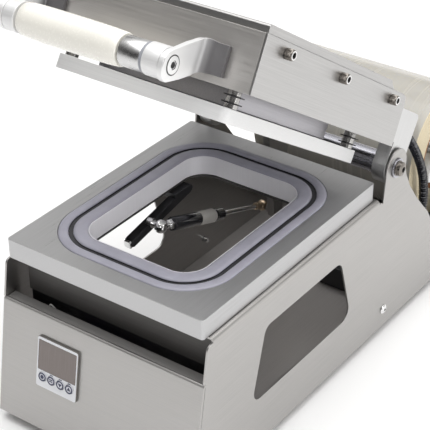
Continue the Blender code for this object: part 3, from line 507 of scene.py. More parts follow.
def skin_loops(shape, loops, ring=False):
    """Join loops of points, each with the same count, into a closed skin or ring."""
    rows = [[shape.verts.new(point) for point in loop] for loop in loops]
    pairs = list(zip(rows, rows[1:] + rows[:1])) if ring else list(zip(rows, rows[1:]))
    count = len(rows[0])
    for near, far in pairs:
        for step in range(count):
            after = (step + 1) % count
            shape.faces.new((near[step], near[after], far[after], far[step]))
    if not ring:
        shape.faces.new(rows[0])
        shape.faces.new(rows[-1])


def turned(profile, axis, centre=(0.0, 0.0, 0.0), steps=48, ring=False):
    """A profile of (along, radius) turned about an axis through centre."""
    shape = bmesh.new()
    place = {
        "x": lambda along, c, s: (centre[0] + along, centre[1] + c, centre[2] + s),
        "y": lambda along, c, s: (centre[0] + c, centre[1] + along, centre[2] + s),
        "z": lambda along, c, s: (centre[0] + c, centre[1] + s, centre[2] + along),
    }[axis]
    turns = [2 * pi * step / steps for step in range(steps)]
    loops = [[place(along, radius * cos(t), radius * sin(t)) for t in turns] for along, radius in profile]
    skin_loops(shape, loops, ring)
    return shape


def soft_profile(points, radius):
    """Round each inner corner of an open (along, radius) profile."""
    steps = 3
    result = [points[0]]
    for before, here, after in zip(points, points[1:], points[2:]):
        a, b, c = Vector(before), Vector(here), Vector(after)
        reach = min(radius, (a - b).length * 0.45, (c - b).length * 0.45)
        start = b + (a - b).normalized() * reach
        end = b + (c - b).normalized() * reach
        for step in range(steps + 1):
            t = step / steps
            point = start * (1 - t) ** 2 + b * 2 * t * (1 - t) + end * t * t
            result.append((point.x, point.y))
    return result + [points[-1]]


def on_side(shape, side):
    """The shape as drawn for the right, or its mirror image for the left."""
    if side == "left":
        shape.transform(Matrix.Scale(-1, 4, (1, 0, 0)))
    return shape


def hex_radius(size, angle):
    """Distance from the middle of a hexagon of a size across flats to its edge."""
    return size / 2 / cos((angle + pi / 6) % (pi / 3) - pi / 6)


def screw(profile, hex_size, depth, axis_start, centre, knurl=0.0, knurl_rows=(), steps=72):
    """A turned head along +X with a hexagon socket; rows named in knurl_rows are ridged."""
    shape = bmesh.new()
    turns = [2 * pi * step / steps for step in range(steps)]
    y, z = centre

    def loop(along, radii):
        return [(axis_start + along, y + radius * cos(t), z + radius * sin(t))
                for radius, t in zip(radii, turns)]

    loops = []
    for row, (along, radius) in enumerate(profile):
        notch = knurl if row in knurl_rows else 0.0
        loops.append(loop(along, [radius - notch * (step % 2) for step in range(steps)]))
    top = profile[-1][0]
    for below, widening in ((0.0, 1.08), (0.3, 1.0), (depth, 1.0)):
        loops.append(loop(top - below, [hex_radius(hex_size, t) * widening for t in turns]))
    skin_loops(shape, loops)
    # Socket walls and floor get material index 1: near-black painted shade in the recess.
    for face in shape.faces:
        reach = max(hypot(vert.co.y - y, vert.co.z - z) for vert in face.verts)
        if reach < hex_size * 0.66 and face.calc_center_median().x > axis_start + top - depth - 0.1:
            face.material_index = 1
    return shape


def smooth_route(points, count):
    """Points of a Catmull-Rom curve through a short list of route points."""
    points = [Vector(point) for point in points]
    padded = [2 * points[0] - points[1]] + points + [2 * points[-1] - points[-2]]
    spans = len(points) - 1
    route = []
    for step in range(count):
        place = step * spans / (count - 1)
        span = min(int(place), spans - 1)
        t = place - span
        a, b, c, d = padded[span:span + 4]
        route.append(0.5 * (2 * b + (c - a) * t + (2 * a - 5 * b + 4 * c - d) * t * t
                            + (3 * b - a - 3 * c + d) * t * t * t))
    return route


def swept(route, radius_at, sides):
    """A tube along a route; radius_at gives its radius at a distance along it."""
    shape = bmesh.new()
    loops = []
    travelled = 0.0
    guide = Vector((1.0, 0.0, 0.0))
    for index, point in enumerate(route):
        ahead = route[min(index + 1, len(route) - 1)]
        behind = route[max(index - 1, 0)]
        direction = (ahead - behind).normalized()
        if index:
            travelled += (point - route[index - 1]).length
        guide = (guide - direction * guide.dot(direction)).normalized()
        across = direction.cross(guide)
        radius = radius_at(travelled)
        loops.append([point + (guide * cos(t) + across * sin(t)) * radius
                      for t in (2 * pi * side / sides for side in range(sides))])
    skin_loops(shape, loops)
    return shape


def even_route(points, spacing):
    """A smooth route with its points the same distance apart."""
    dense = smooth_route(points, 600)
    total = sum((b - a).length for a, b in zip(dense, dense[1:]))
    count = max(2, int(total / spacing))
    result = [dense[0]]
    travelled = 0.0
    for a, b in zip(dense, dense[1:]):
        travelled += (b - a).length
        if travelled >= total * len(result) / count:
            result.append(b)
    return result


# ---- base ----------------------------------------------------------------------------
def build_sheet_metal():
    for side in ("left", "right"):
        refine(f"side_panel_{side}", BASE, "base", "steel_y", 0.4)
    refine("front_panel", BASE, "base", "panel", 0.6, 3)
    refine("rear_panel", BASE, "base", "steel_x", 0.3)
    refine("bottom_plate", BASE, "base", "pan", 0.3)
    deck = refine("deck_frame", BASE, "base", "deck", 0.3)
    # The deck's faces below the screen top form a black screen across the slot: painted shade where the
    # inside of the machine is dark.
    deck.data.materials.append(LOOKS["black_steel"])
    for face in deck.data.polygons:
        if face.center.z < SHADE_SCREEN_TOP * MM:
            face.material_index = 1
    refine("spring_beam", BASE, "base", "black_steel", 0.5)
    refine("power_relay", BASE, "base", "black", 0.8)
    refine("roll_shaft", BASE, "base", "chrome", 0.3)


def build_mould_plate():
    """Machined plate: its body with a recess, and the floor of the recess round the tray opening."""
    recess = tray_outline(OUTER_SEAL[1] + GAP)
    outline = rounded_rectangle((-PLATE_HALF, 0.0), (PLATE_HALF, PLATE_DEPTH), 3.0, 8)
    body = prism(outline, -PLATE_THICK, 0.0, "z", [recess])
    make_piece("plate_body", body, BASE, "base", "plate", ("mould_plate",), 0.5, 30.0, 3)
    opening = tray_outline(0.0)
    floor = prism(recess, -PLATE_THICK, SEAL_LOW - GAP, "z", [opening])
    add_prism(floor, tray_outline(INNER_SEAL[0] - GAP), SEAL_LOW - GAP, 0.0, "z", [opening])
    make_piece("plate_opening", floor, BASE, "base", "wall", (), 0.0, 25.0)


def build_beam_cap():
    """Bright turned plug in the front end of the black bar."""
    half = 4.1
    outline = rounded_rectangle((BEAM_X - half, -half), (BEAM_X + half, half), 1.6, 4)
    shape = prism(outline, -5.6, -3.0, "y")
    slope = atan2(BEAM_REAR[1] - BEAM_FRONT[1], BEAM_REAR[0] - BEAM_FRONT[0])
    shape.transform(Matrix.Translation((0.0, *BEAM_FRONT)) @ Matrix.Rotation(slope, 4, "X"))
    make_piece("spring_beam_plug", shape, BASE, "base", "chrome", (), 0.5)


def build_seals():
    """Two silicone rings, domed across their width."""
    shoulder, edge = 4.2, -0.6
    rise = [(1 - cos(radians(angle)), sin(radians(angle))) for angle in range(0, 91, 15)]
    for node, (inner, outer) in (("inner_seal", INNER_SEAL), ("outer_seal", OUTER_SEAL)):
        section = [(inner + 0.2, SEAL_LOW), (inner, SEAL_LOW + 0.4)]
        section += [(inner + shoulder * across, edge + (SEAL_TOP - edge) * up) for across, up in rise]
        section += [(outer - shoulder * across, edge + (SEAL_TOP - edge) * up)
                    for across, up in reversed(rise)]
        section += [(outer, SEAL_LOW + 0.4), (outer - 0.2, SEAL_LOW)]
        shape = bmesh.new()
        loops = [[(x, y, height) for x, y in tray_outline(step)] for step, height in section]
        skin_loops(shape, loops, ring=True)
        # Flank faces below the edge that face the groove get material index 1, painted shade between the
        # rings.
        for face in shape.faces:
            middle = face.calc_center_median()
            step = outline_step(middle)
            towards_track = step < outer - 0.5 if node == "outer_seal" else step > inner + 0.5
            if middle.z < edge and towards_track:
                face.material_index = 1
        make_piece(node + "_ring", shape, BASE, "base", "silicone", (node,), 0.0, 40.0)
    track = prism(tray_outline(OUTER_SEAL[0] - 0.1), -2.4, -1.6, "z", [tray_outline(INNER_SEAL[1] + 0.1)])
    make_piece("seal_track", track, BASE, "base", "groove")


def build_feet():
    for side, x in zip(("left", "right"), FOOT_X):
        for row, y in FOOT_Y.items():
            low = (corners(f"foot_{row}_{side}")[0].z - ORIGIN.z) / MM
            profile = [(low, 6.0), (low, 9.0), (low + 1.0, 10.0), (low + 5.0, 10.8), (low + 9.7, 12.0),
                       (low + 9.7, 3.9), (low + 16.0, 3.9)]
            shape = turned(soft_profile(profile, 0.8), "z", (x, y, 0.0), 40)
            make_piece(f"foot_pad_{row}_{side}", shape, BASE, "base", "rubber",
                       (f"foot_{row}_{side}",))


def build_screws():
    """Hinge bolts with washers, and the small domed screws low on the side panels."""
    start = HALF_WIDTH + GAP
    for side in ("right", "left"):
        washer = turned(soft_profile([(0.0, 6.0), (0.0, 10.0), (1.6, 10.0), (1.6, 6.0)], 0.3), "x",
                        (start, PIVOT_Y, PIVOT_Z), 64)
        make_piece(f"pivot_washer_{side}", on_side(washer, side), BASE, "base", "shaft")
        dome = [(-17.0, 4.8), (1.4, 4.8), (1.6, 7.6), (2.2, 8.0), (2.5, 7.2), (6.0, 7.0)]
        dome += [(5.0 + 2.6 * sin(radians(a)), 7.2 * cos(radians(a))) for a in (32, 44, 54, 60)]
        bolt = screw(dome, 5.2, 3.4, start, (PIVOT_Y, PIVOT_Z))
        make_piece(f"pivot_button_{side}", on_side(bolt, side), BASE, "base", "steel_dull",
                   (f"pivot_bolt_{side}",))
        dome = [(-7.7, 2.5), (0.0, 2.6), (0.0, 5.1), (0.5, 5.2)]
        dome += [(0.4 + 2.3 * sin(radians(a)), 5.2 * cos(radians(a))) for a in (22, 40, 54, 66)]
        small = screw(dome, 2.4, 1.2, start, PANEL_SCREW)
        make_piece(f"panel_button_{side}", on_side(small, side), BASE, "base", "chrome",
                   (f"panel_screw_{side}",))


def build_controller():
    """Controller: bezel with a sunk window, a white key band and four keys with plain marks."""
    middle = (CASE_LOW + CASE_HIGH) / 2
    face = key_frame()
    wide, tall = CONTROL_HALF
    outline = rounded_rectangle((-wide, -tall), (wide, tall), 2.0)
    holes = [window_outline(0.0)]
    keys = [((box_low.x + box_high.x) / 2 - middle.x) / MM for box_low, box_high in key_boxes()]
    holes += [circle((x, KEY_HEIGHT), 4.8) for x in keys]
    bezel = prism(outline, *BEZEL_DEPTH, "y", holes)
    make_piece("controller_bezel", bezel, face, "base", "case", ("controller_case",), 0.3)
    rear = prism(outline, *BACK_DEPTH, "y")
    make_piece("controller_back", rear, face, "base", "case", (), 0.2)
    body = prism(rounded_rectangle((-21.8, -21.8), (21.8, 21.8), 1.0, 3), *BODY_DEPTH, "y")
    make_piece("controller_body", body, face, "base", "black", (), 0.4)
    pane = prism(window_outline(0.3), *PANE_DEPTH, "y")
    make_piece("controller_window", pane, face, "base", "display", ("controller_display",), 0.2)
    frame_holes = [window_outline(0.4)]
    frame_holes += [circle((x, KEY_HEIGHT), 4.85) for x in keys]
    surround = rounded_rectangle((0.35 - wide, 0.35 - tall), (wide - 0.35, tall - 0.35), 1.7, 4)
    make_piece("controller_surround", prism(surround, *SURROUND_DEPTH, "y", frame_holes), face, "base",
               "band")
    build_keys(keys, face)
    build_controller_marks(keys, face)


def window_outline(step):
    """The controller's window with its edges moved inwards by step."""
    (left, low), (right, high) = CONTROL_WINDOW
    return rounded_rectangle((left + step, low + step), (right - step, high - step), 0.8, 4)


def key_boxes():
    return [corners(f"key_{number}") for number in (1, 2, 3, 4)]


def key_frame():
    """Frame on the controller: X right, Y into the machine, Z up along the leaning front."""
    low, high = key_boxes()[0]
    key_middle = (low + high) / 2
    middle_x = (CASE_LOW.x + CASE_HIGH.x) / 2
    turn = Matrix.Rotation(LEAN, 4, "X")
    origin = key_middle - turn @ Vector((0.0, sum(KEY_DEPTH) / 2 * MM, KEY_HEIGHT * MM))
    origin.x = middle_x
    return Matrix.Translation(origin) @ turn


def build_keys(keys, face):
    """Round keys, each with a plain mark: ring, bars, arrows down and up."""
    for number, x in enumerate(keys, 1):
        cap = turned(soft_profile([(-3.7, 1.0), (-3.75, 3.9), (-3.4, 4.45), (-1.9, 4.5)], 0.3), "y",
                     (x, 0.0, KEY_HEIGHT), 40)
        body = f"key_{'abcd'[number - 1]}"
        make_piece(f"key_cap_{number}", cap, face, body, "key", (f"key_{number}",))
        mark = bmesh.new()
        ring = [circle((x, KEY_HEIGHT), 3.05)]
        add_prism(mark, circle((x, KEY_HEIGHT), 4.45), *KEY_PRINT_DEPTH, "y", ring)
        for outline in key_mark(number, x):
            add_prism(mark, outline, *KEY_PRINT_DEPTH, "y")
        make_piece(f"key_mark_{number}", mark, face, body, "ink")


def key_mark(number, x):
    """Outlines of a key's pictogram round its middle."""
    z = KEY_HEIGHT
    if number == 1:
        return [circle((x, z), 2.0, 20)]
    if number == 2:
        return [[(x - 1.9, z + y), (x + 1.9, z + y), (x + 1.9, z + y + 1.0), (x - 1.9, z + y + 1.0)]
                for y in (-1.3, 0.5)]
    point = -2.2 if number == 3 else 2.2
    return [[(x - 2.2, z - point * 0.6), (x + 2.2, z - point * 0.6), (x, z + point)]]


def build_controller_marks(keys, face):
    """Short plain bars printed above the keys."""
    marks = bmesh.new()
    for x in keys[1:]:
        outline = rounded_rectangle((x - 2.2, -9.5), (x + 1.4, -8.8), 0.25, 2)
        add_prism(marks, outline, *PRINT_DEPTH, "y")
    make_piece("controller_marks", marks, face, "base", "ink")


def build_roll():
    """Film wound on its core: milky outside, ringed end faces."""
    left, right = ROLL_RANGE
    place = Matrix.Translation(ROLL_AXIS)
    random.seed(7)
    rings, low = 30, CORE_RADIUS + GAP
    radii = [low + (ROLL_RADIUS - 1.0 - low) * step / rings for step in range(rings + 1)]
    profile = [(right + random.uniform(-0.35, 0.05), radius) for radius in radii]
    profile += [(right - 0.6, ROLL_RADIUS - 0.2), (right - 1.4, ROLL_RADIUS)]
    profile += [(right + (left - right) * step / 24, ROLL_RADIUS) for step in range(1, 24)]
    profile += [(left + 1.4, ROLL_RADIUS), (left + 0.6, ROLL_RADIUS - 0.2)]
    profile += [(left + random.uniform(-0.05, 0.35), radius) for radius in reversed(radii)]
    shape = turned(profile, "x", steps=128, ring=True)
    roll = make_piece("film_wound_roll", shape, place, "roll", "film", ("film_roll",), 0.0, 50.0)
    roll.data.materials.append(LOOKS["film_edge"])
    for face in roll.data.polygons:
        if abs(face.normal.x) > 0.6:
            face.material_index = 1
    bore = CORE_RADIUS - CORE_WALL
    section = [(left + 1, bore), (left + 1, CORE_RADIUS), (right - 1, CORE_RADIUS), (right - 1, bore)]
    core = turned(section, "x", steps=96, ring=True)
    make_piece("paper_core", core, place, "roll", "cardboard", ("roll_core",), 0.4)


def build_rear_fittings():
    """Mains inlet with its three blades, and the rocker with a raised frame."""
    refine("power_inlet", BASE, "base", "black", 0.5)
    low, high = corners("power_inlet")
    middle = ((low + high) / 2 - ORIGIN) / MM
    back = (high.y - ORIGIN.y) / MM
    blades = bmesh.new()
    for dx, dz in ((-5.5, -1.8), (0.0, 2.0), (5.5, -1.8)):
        x, z = middle.x + dx, middle.z + dz
        outline = rounded_rectangle((x - 1.0, z - 2.0), (x + 1.0, z + 2.0), 0.4, 2)
        add_prism(blades, outline, back - 17.5, back - 4.0, "y")
    make_piece("inlet_blades", blades, BASE, "base", "chrome", (), 0.2)
    for dx in (-20.0, 20.0):
        dome = [(0.0, 3.0), (0.3, 3.0), (1.2, 2.4), (1.6, 1.9)]
        head = screw(dome, 2.0, 0.9, 0.0, (0.0, 0.0), steps=36)
        head.transform(Matrix.Rotation(pi / 2, 4, "Z"))
        head.transform(Matrix.Translation((middle.x + dx, back + 0.05, middle.z)))
        make_piece(f"inlet_screw_{'left' if dx < 0 else 'right'}", head, BASE, "base", "steel_dull")
    refine("rocker_switch", BASE, "rocker", "black", 0.5)
    low, high = corners("rocker_switch")
    middle = ((low + high) / 2 - ORIGIN) / MM
    outer = rounded_rectangle((middle.x - 12.0, middle.z - 9.6), (middle.x + 12.0, middle.z + 9.6), 1.5, 4)
    inner = rounded_rectangle((middle.x - 9.7, middle.z - 8.0), (middle.x + 9.7, middle.z + 8.0), 0.8, 3)
    bezel = prism(outer, back - 2.7, back - 1.0, "y", [inner])
    make_piece("rocker_bezel", bezel, BASE, "base", "black", (), 0.3)


def build_conduit():
    """Corrugated hose that bends between the base and the head."""
    pitch = 3.0

    def ridge(travelled):
        return 3.9 + 1.1 * cos(2 * pi * travelled / pitch)

    route = even_route(CONDUIT_ROUTE, pitch / 6)
    hose = make_piece("conduit_hose", swept(route, ridge, 16), BASE, None, "hose",
                      ("conduit",), 0.0, 80.0)
    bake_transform(hose)


def build_wires():
    """Leads that run behind the slot: a blue and a red one from the controller to the relay, and a white
    loop by the controller that is a painted glint, standing for light seen through the slot.
    """
    runs = {
        "blue": ((-45.0, 18.0, -86.0), (-10.0, 16.5, -79.0), (30.0, 16.0, -77.0), (70.0, 15.5, -72.0),
                 (98.0, 16.0, -82.0), (100.0, 17.0, -116.0), (90.0, 20.0, -150.0)),
        "red": ((-47.0, 18.0, -87.0), (-6.0, 17.0, -82.0), (40.0, 15.0, -79.0), (84.0, 14.5, -73.0),
                (101.0, 17.0, -90.0), (96.0, 18.0, -120.0), (86.0, 22.0, -152.0)),
        # The white lead is a painted glint: a white loop where light from the left window shows through the
        # slot.
        "white": ((-52.0, 18.0, -86.0), (-66.0, 16.0, -76.0), (-74.0, 13.0, -66.0), (-78.0, 15.0, -76.0),
                  (-80.0, 18.0, -100.0), (-76.0, 20.0, -120.0)),
    }
    for name, route in runs.items():
        shape = swept(smooth_route(route, 80), lambda travelled: 0.8, 10)
        make_piece(f"lead_{name}", shape, BASE, "base", f"wire_{name}", (), 0.0, 60.0)


# ---- head ----------------------------------------------------------------------------
def build_head_shell():
    build_cover()
    refine("head_lid", HEAD, "head", "cover_y", 0.5, 3)
    refine("carrier_plate", HEAD, "head", "steel_x", 0.3)
    for side in ("left", "right"):
        refine(f"hinge_lever_{side}", HEAD, "head", "lever", 0.5, 3)
    refine("spring_crank", HEAD, "head", "steel_z", 0.5)
    end = CROSS_SHAFT_HALF
    profile = [(-end, 12.0), (6.0 - end, 12.0), (6.6 - end, 11.6)]
    profile += [(-along, radius) for along, radius in reversed(profile)]
    shape = turned(profile, "x", (0.0, PIVOT_Y, PIVOT_Z), 64)
    make_piece("cross_shaft_bar", shape, HEAD, "head", "shaft", ("cross_shaft",), 0.2)


def skewed(y, z):
    """Front and back edges of the head lean forward as they rise."""
    return y - (z - HEAD_LOW) * HEAD_SKEW


def build_cover():
    """Two side sheets with the front sheet let in between them."""
    low, top = HEAD_LOW, HEAD_TOP
    sheet_thick, bend = 2.0, 7.0
    front_low, front_top = (skewed(HEAD_FRONT, height) for height in (low, top))
    outline = [(front_low, low), (HEAD_BACK, low)]
    outline += arc((skewed(HEAD_BACK, top) - bend, top - bend), bend, 0, 90)
    outline.append((front_top, top))
    for side in ("right", "left"):
        sheet = on_side(prism(outline, HEAD_HALF - sheet_thick, HEAD_HALF, "x"), side)
        replaced = ("head_cover",) if side == "right" else ()
        make_piece(f"cover_side_{side}", sheet, HEAD, "head", "cover_y", replaced, 0.35,
                   30.0, 3)
    front = ((front_low, low), (front_low + sheet_thick, low), (front_top + sheet_thick, top),
             (front_top, top))
    inside = HEAD_HALF - sheet_thick - 0.25
    sheet = prism(front, -inside, inside, "x")
    make_piece("cover_front", sheet, HEAD, "head", "cover_x", (), 0.3, 30.0, 3)


def build_side_screws():
    """Knurled socket-cap screws, each with a lighter ring round its mouth: painted highlight on the head's
    front face.
    """
    start = HEAD_HALF + GAP
    profile = [(-13.5, 2.8), (0.0, 2.9), (0.0, 4.5), (0.4, 4.9), (5.6, 4.9), (5.9, 4.6), (6.7, 4.6)]
    profile.append((7.2, 4.1))
    rim = [(6.9, 2.9), (7.3, 2.9), (7.3, 3.9), (6.9, 4.3)]
    for side in ("right", "left"):
        for name, (y, z) in SIDE_SCREWS.items():
            shape = screw(profile, 4.6, 4.0, start, (y, z), 0.38, (3, 4), 64)
            make_piece(f"cap_screw_{name}_{side}", on_side(shape, side), HEAD, "head",
                       "steel_dull", (f"side_screw_{name}_{side}",), 0.0, 34.0)
            # The ring is a painted highlight: the head's own front face, made lighter.
            mouth = turned(rim, "x", (start, y, z), ring=True)
            make_piece(f"cap_highlight_ring_{name}_{side}", on_side(mouth, side), HEAD, "head", "boss")


def arm_stations():
    """Plan of the right arm's middle line from its round end to its foot, as (x, y, angle)."""
    face = HEAD_FRONT - GAP - ARM_THICK / 2
    x, bend_start = ARM_OUT - ARM_THICK / 2, face - ARM_BEND
    stations = [(x, HANDLE_Y - ARM_TIP * cos(radians(90 * step / 12)), 0.0) for step in range(13)]
    stations += [(x, HANDLE_Y + (bend_start - HANDLE_Y) * step / 6, 0.0) for step in range(1, 7)]
    for angle in range(9, 91, 9):
        out, back = 1 - cos(radians(angle)), sin(radians(angle))
        stations.append((x + ARM_BEND * out, bend_start + ARM_BEND * back, angle))
    stations.append((ARM_OUT + ARM_FOOT, face, 90.0))
    return stations


def arm_shape():
    """Flat bar that rises from its round end, then bends out against the cover's front."""
    shape = bmesh.new()
    tip, rise = ARM_TIP, tan(ARM_RISE)
    loops = []
    for x, y, angle in arm_stations():
        behind = y - HANDLE_Y
        if behind < 0:
            half = sqrt(max(0.0, tip * tip - behind * behind)) + 0.01
            middle = HANDLE_Z + behind * rise * (1 + behind / tip)
        else:
            half = tip + (tip / cos(ARM_RISE) - tip) * min(1.0, behind / tip)
            middle = HANDLE_Z + behind * rise
        blend = angle / 90.0
        low = (middle - half) * (1 - blend) + (HANDLE_Z + ARM_FOOT_LOW) * blend
        high = (middle + half) * (1 - blend) + (HANDLE_Z + ARM_FOOT_HIGH) * blend
        nx, ny = cos(radians(angle)), -sin(radians(angle))
        reach = ARM_THICK / 2

        def at(side, height):
            px, py = x + nx * reach * side, y + ny * reach * side
            return (px, py - (height - HEAD_LOW) * HEAD_SKEW * blend, height)

        loops.append([at(-1, low), at(1, low), at(1, high), at(-1, high)])
    skin_loops(shape, loops)
    return shape


def build_handle():
    make_piece("arm_right", arm_shape(), HEAD, "head", "arm", ("handle_arm_right",), 0.6,
               40.0, 3)
    refine("handle_arm_left", HEAD, "head", "arm", 0.5)
    centre = (0.0, HANDLE_Y, HANDLE_Z)
    inner = ARM_OUT - ARM_THICK - GAP
    profile = soft_profile([(43.6, 12.9), (43.6, 13.75), (inner, 13.75), (inner, 12.6)], 0.7)
    make_piece("boss_right", turned(profile, "x", centre, 72), HEAD, "head", "boss",
               ("handle_boss_right",))
    profile = [(40.6, 12.4), (40.6, 13.0), (43.4, 13.0), (43.4, 12.4)]
    make_piece("handle_ring", turned(profile, "x", centre, 72), HEAD, "head", "ring")
    profile = [(19.2, 11.9), (19.2, 12.8), (19.8, 13.0), (39.8, 13.0), (40.4, 12.7), (40.4, 11.9)]
    make_piece("collar_chrome", turned(profile, "x", centre, 72), HEAD, "head", "collar",
               ("handle_collar",), 0.0, 60.0)
    refine("handle_rod", HEAD, "head", "boss", 0.3)
    low, high = GRIP_RANGE
    profile = [(low, 12.4), (low, 13.6)]
    for step in range(17):
        t = step / 16
        bulge = 1.1 * (1 - (2 * t - 1) ** 4)
        profile.append((low + 0.8 + (high - low - 1.6) * t, 14.2 + bulge))
    profile += [(high, 13.6), (high, 12.4)]
    make_piece("grip_sleeve", turned(profile, "x", centre, 96), HEAD, "grip", "grip",
               ("handle_grip",), 0.0, 50.0)
    start = ARM_OUT + GAP
    profile = [(-5.0, 2.8), (-0.2, 2.8), (-0.2, 7.4), (0.15, 7.5), (0.35, 7.3), (0.4, 6.8)]
    shape = screw(profile, 6.5, 0.62, start, (HANDLE_Y, HANDLE_Z))
    make_piece("arm_screw_right", shape, HEAD, "head", "arm", ("handle_screw_right",))
    # A thin near-black ring round the screw head: painted shade in the gap of its seat.
    rim = [(-0.25, 7.55), (-0.1, 7.55), (-0.1, 8.5), (-0.25, 8.5)]
    seat = turned(rim, "x", (start, HANDLE_Y, HANDLE_Z), 72, ring=True)
    make_piece("arm_screw_seat_shade", seat, HEAD, "head", "socket")


def build_heater():
    """Press plate and block on four grooved guide bolts, each with two clips."""
    refine("press_plate", HEAD, "heater", "press", 0.5, 3)
    refine("heater_block", HEAD, "heater", "block", 0.8, 2)
    low = PRESS_HIGH + GAP
    profile = [(low, 5.2), (low, 6.0)]
    for start, end in ((3.6, 4.9), (9.6, 11.0)):
        profile += [(low + start, 6.0), (low + start + 0.3, 5.4), (low + end - 0.3, 5.4), (low + end, 6.0)]
    profile += [(57.5, 6.0), (58.0, 5.4)]
    for side, x in (("left", -GUIDE_X), ("right", GUIDE_X)):
        for row, y in GUIDE_Y.items():
            bolt = turned(profile, "z", (x, y, 0.0))
            node = f"guide_bolt_{row}_{side}"
            make_piece(f"guide_sleeve_{row}_{side}", bolt, HEAD, "heater", "bolt", (node,), 0.0,
                       25.0)
            for number, height in enumerate((low + 3.75, low + 9.75), 1):
                clip = clip_shape(x, y, height, 25.0 * number)
                make_piece(f"guide_clip_{row}_{side}_{number}", clip, HEAD, "heater", "clip",
                           (), 0.12)


def clip_shape(x, y, height, turn):
    """Open retaining clip: a flat ring with a mouth and two lugs."""
    places = [(8.8, angle) for angle in range(30, 331, 12)]
    places += [(9.4, 338), (9.0, 344), (6.4, 338)]
    places += [(5.6, angle) for angle in range(318, 41, -12)]
    places += [(6.4, 22), (9.0, 16), (9.4, 22)]
    outline = [(x + radius * cos(radians(turn + angle)), y + radius * sin(radians(turn + angle)))
               for radius, angle in places]
    return prism(outline, height, height + 1.0, "z")


# ---- gas spring ----------------------------------------------------------------------
def build_gas_spring():
    """Painted cylinder with a plain label ring, ball sockets at both ends and a chrome rod."""
    tube = [(17.0, 5.0), (17.6, 6.6), (19.0, 7.0), (92.0, 7.0), (93.0, 6.6), (93.2, 6.0), (105.0, 6.0),
            (105.8, 5.4), (105.8, 2.9), (24.0, 2.9)]
    make_piece("gas_tube", turned(tube, "y", steps=56), SPRING, "gas_cylinder", "tube",
               ("gas_cylinder",), 0.0, 30.0)
    label = [(62.0, 7.02), (62.0, 7.16), (88.0, 7.16), (88.0, 7.02)]
    make_piece("gas_label", turned(label, "y", steps=56, ring=True), SPRING, "gas_cylinder", "label")
    neck = turned([(6.0, 3.9), (11.0, 3.9), (11.4, 4.6), (16.8, 4.6)], "y", steps=40)
    turns = [2 * pi * step / 48 for step in range(48)]
    nut = [[(hex_radius(10.0, t) * cos(t), y, hex_radius(10.0, t) * sin(t)) for t in turns]
           for y in (11.6, 16.2)]
    skin_loops(neck, nut)
    make_piece("gas_nut", neck, SPRING, "gas_cylinder", "chrome", (), 0.25, 25.0)
    socket = ball(0.0, 6.9, (36, 24), (-3.2, 5.6))
    make_piece("gas_socket_front", socket, SPRING, "gas_cylinder", "chrome", (), 0.3, 40.0)
    rod_end = rod_length()
    rod = [(46.0, 2.3), (rod_end - 14.0, 2.3)]
    make_piece("gas_rod_bar", turned(rod, "y", steps=40), SPRING, "gas_rod", "chrome",
               ("gas_rod",), 0.1)
    tail = [(rod_end - 15.5, 3.6), (rod_end - 15.0, 4.0), (rod_end - 8.0, 4.0), (rod_end - 7.0, 3.6)]
    make_piece("gas_rod_nut", turned(tail, "y", steps=40), SPRING, "gas_rod", "brass", (), 0.2)
    eye = ball(rod_end - 2.0, 6.0, (32, 20), (-5.0, 5.0))
    make_piece("gas_eye_rear", eye, SPRING, "gas_rod", "brass", (), 0.0, 40.0)


def rod_length():
    """Distance between the gas spring's ball joints at rest."""
    low, high = corners("gas_rod")
    far = Vector((SPRING_FRONT.x, high.y, low.z))
    return (far - SPRING_FRONT).dot(ROD_AXIS) / MM - EYE_OVERHANG


def ball(along, radius, segments, sides):
    """Round housing of a ball joint, flattened on both sides."""
    shape = bmesh.new()
    bmesh.ops.create_uvsphere(shape, u_segments=segments[0], v_segments=segments[1], radius=radius,
                              matrix=Matrix.Translation((0.0, along, 0.0)))
    for vert in shape.verts:
        vert.co.x = max(sides[0], min(sides[1], vert.co.x))
    return shape


# ---- stage ---------------------------------------------------------------------------
def build_stage():
    floor = bmesh.new()
    bmesh.ops.create_grid(floor, x_segments=1, y_segments=1, size=6.0)
    mesh = bpy.data.meshes.new("studio_floor")
    floor.to_mesh(mesh)
    floor.free()
    ground = bpy.data.objects.new("studio_floor", mesh)
    bpy.context.collection.objects.link(ground)
    ground.location.z = cad_box[0][2] - 0.0002
    look = Look("studio_white", (0.92, 0.92, 0.92), 0.9)
    mottle = look.noise((2.0, 2.0, 2.0), 2.0)
    look.shade(mottle, 0.005)
    mesh.materials.append(look.material)
    build_world()
    bpy.context.scene.view_settings.view_transform = "Standard"


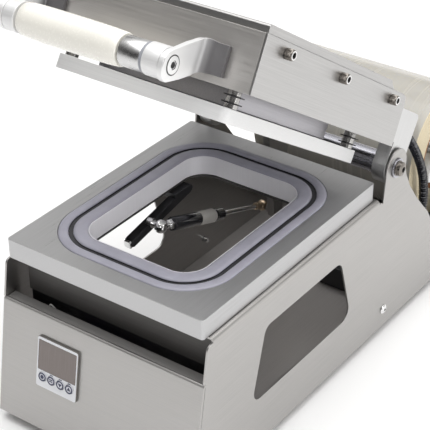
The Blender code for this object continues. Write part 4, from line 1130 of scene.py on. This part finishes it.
def build_world():
    """A studio that is bright overhead and near the floor, with a darker band at mid height."""
    world = bpy.data.worlds.new("studio_world")
    world.use_nodes = True
    tree = world.node_tree
    place = tree.nodes.new("ShaderNodeTexCoord")
    split = tree.nodes.new("ShaderNodeSeparateXYZ")
    ramp = tree.nodes.new("ShaderNodeValToRGB")
    tree.links.new(place.outputs["Generated"], split.inputs["Vector"])
    tree.links.new(split.outputs["Z"], ramp.inputs["Fac"])
    tree.links.new(ramp.outputs["Color"], tree.nodes["Background"].inputs["Color"])
    levels = ((0.0, 0.95), (0.12, 0.8), (0.28, 0.26), (0.46, 0.30), (0.66, 0.85), (0.88, 1.1))
    elements = ramp.color_ramp.elements
    for _ in levels[2:]:
        elements.new(0.5)
    for element, (position, level) in zip(elements, levels):
        element.position = position
        element.color = (level, level * 0.99, level * 0.975, 1.0)
    slant = tree.nodes.new("ShaderNodeVectorMath")
    slant.operation = "DOT_PRODUCT"
    slant.inputs[1].default_value = (0.10, 0.75, 0.0)
    tree.links.new(place.outputs["Generated"], slant.inputs[0])
    level = tree.nodes.new("ShaderNodeMath")
    level.operation = "ADD"
    level.inputs[1].default_value = 0.85
    tree.links.new(slant.outputs["Value"], level.inputs[0])
    tree.links.new(level.outputs["Value"], tree.nodes["Background"].inputs["Strength"])
    bpy.context.scene.world = world


def add_area(name, place, target, size, power):
    light = bpy.data.lights.new(name, "AREA")
    light.shape = "RECTANGLE"
    light.size, light.size_y = size
    light.energy = power
    lamp = bpy.data.objects.new(name, light)
    bpy.context.collection.objects.link(lamp)
    lamp.location = place
    lamp.rotation_euler = (Vector(target) - Vector(place)).to_track_quat("-Z", "Y").to_euler()


def build_lights():
    add_area("top_light", (0.1, -0.1, 2.2), (0.0, 0.0, 0.0), (2.4, 2.4), 42.0)
    add_area("side_light", (2.2, 0.1, 0.9), (0.0, 0.0, 0.15), (1.0, 1.0), 11.0)
    add_area("low_fill", (0.75, -1.3, 0.55), (0.0, 0.05, 0.25), (0.6, 0.5), 3.0)


def build_camera():
    """The photographed viewpoint: right of the machine, in front of it and above."""
    place = BASE @ (Vector(CAMERA_PLACE) * MM)
    yaw, pitch, roll = (radians(angle) for angle in CAMERA_TURN)
    camera = bpy.data.cameras.new("photo_camera")
    camera.lens = 120.0
    camera.sensor_width = 36.0
    camera.clip_start, camera.clip_end = 0.05, 20.0
    rig = bpy.data.objects.new("photo_camera", camera)
    bpy.context.collection.objects.link(rig)
    level = Matrix.Rotation(yaw, 4, "Z") @ Matrix.Rotation(pi / 2 - pitch, 4, "X")
    rig.matrix_world = Matrix.Translation(place) @ level @ Matrix.Rotation(-roll, 4, "Z")
    bpy.context.scene.camera = rig


build_camera()
build_lights()
build_stage()
build_sheet_metal()
build_mould_plate()
build_beam_cap()
build_seals()
build_feet()
build_screws()
build_controller()
build_roll()
build_rear_fittings()
build_conduit()
build_wires()
build_head_shell()
build_side_screws()
build_handle()
build_heater()
build_gas_spring()

stud = frame["nodes"]["ball_stud_front"]
stud.data.materials.clear()
stud.data.materials.append(LOOKS["chrome"])
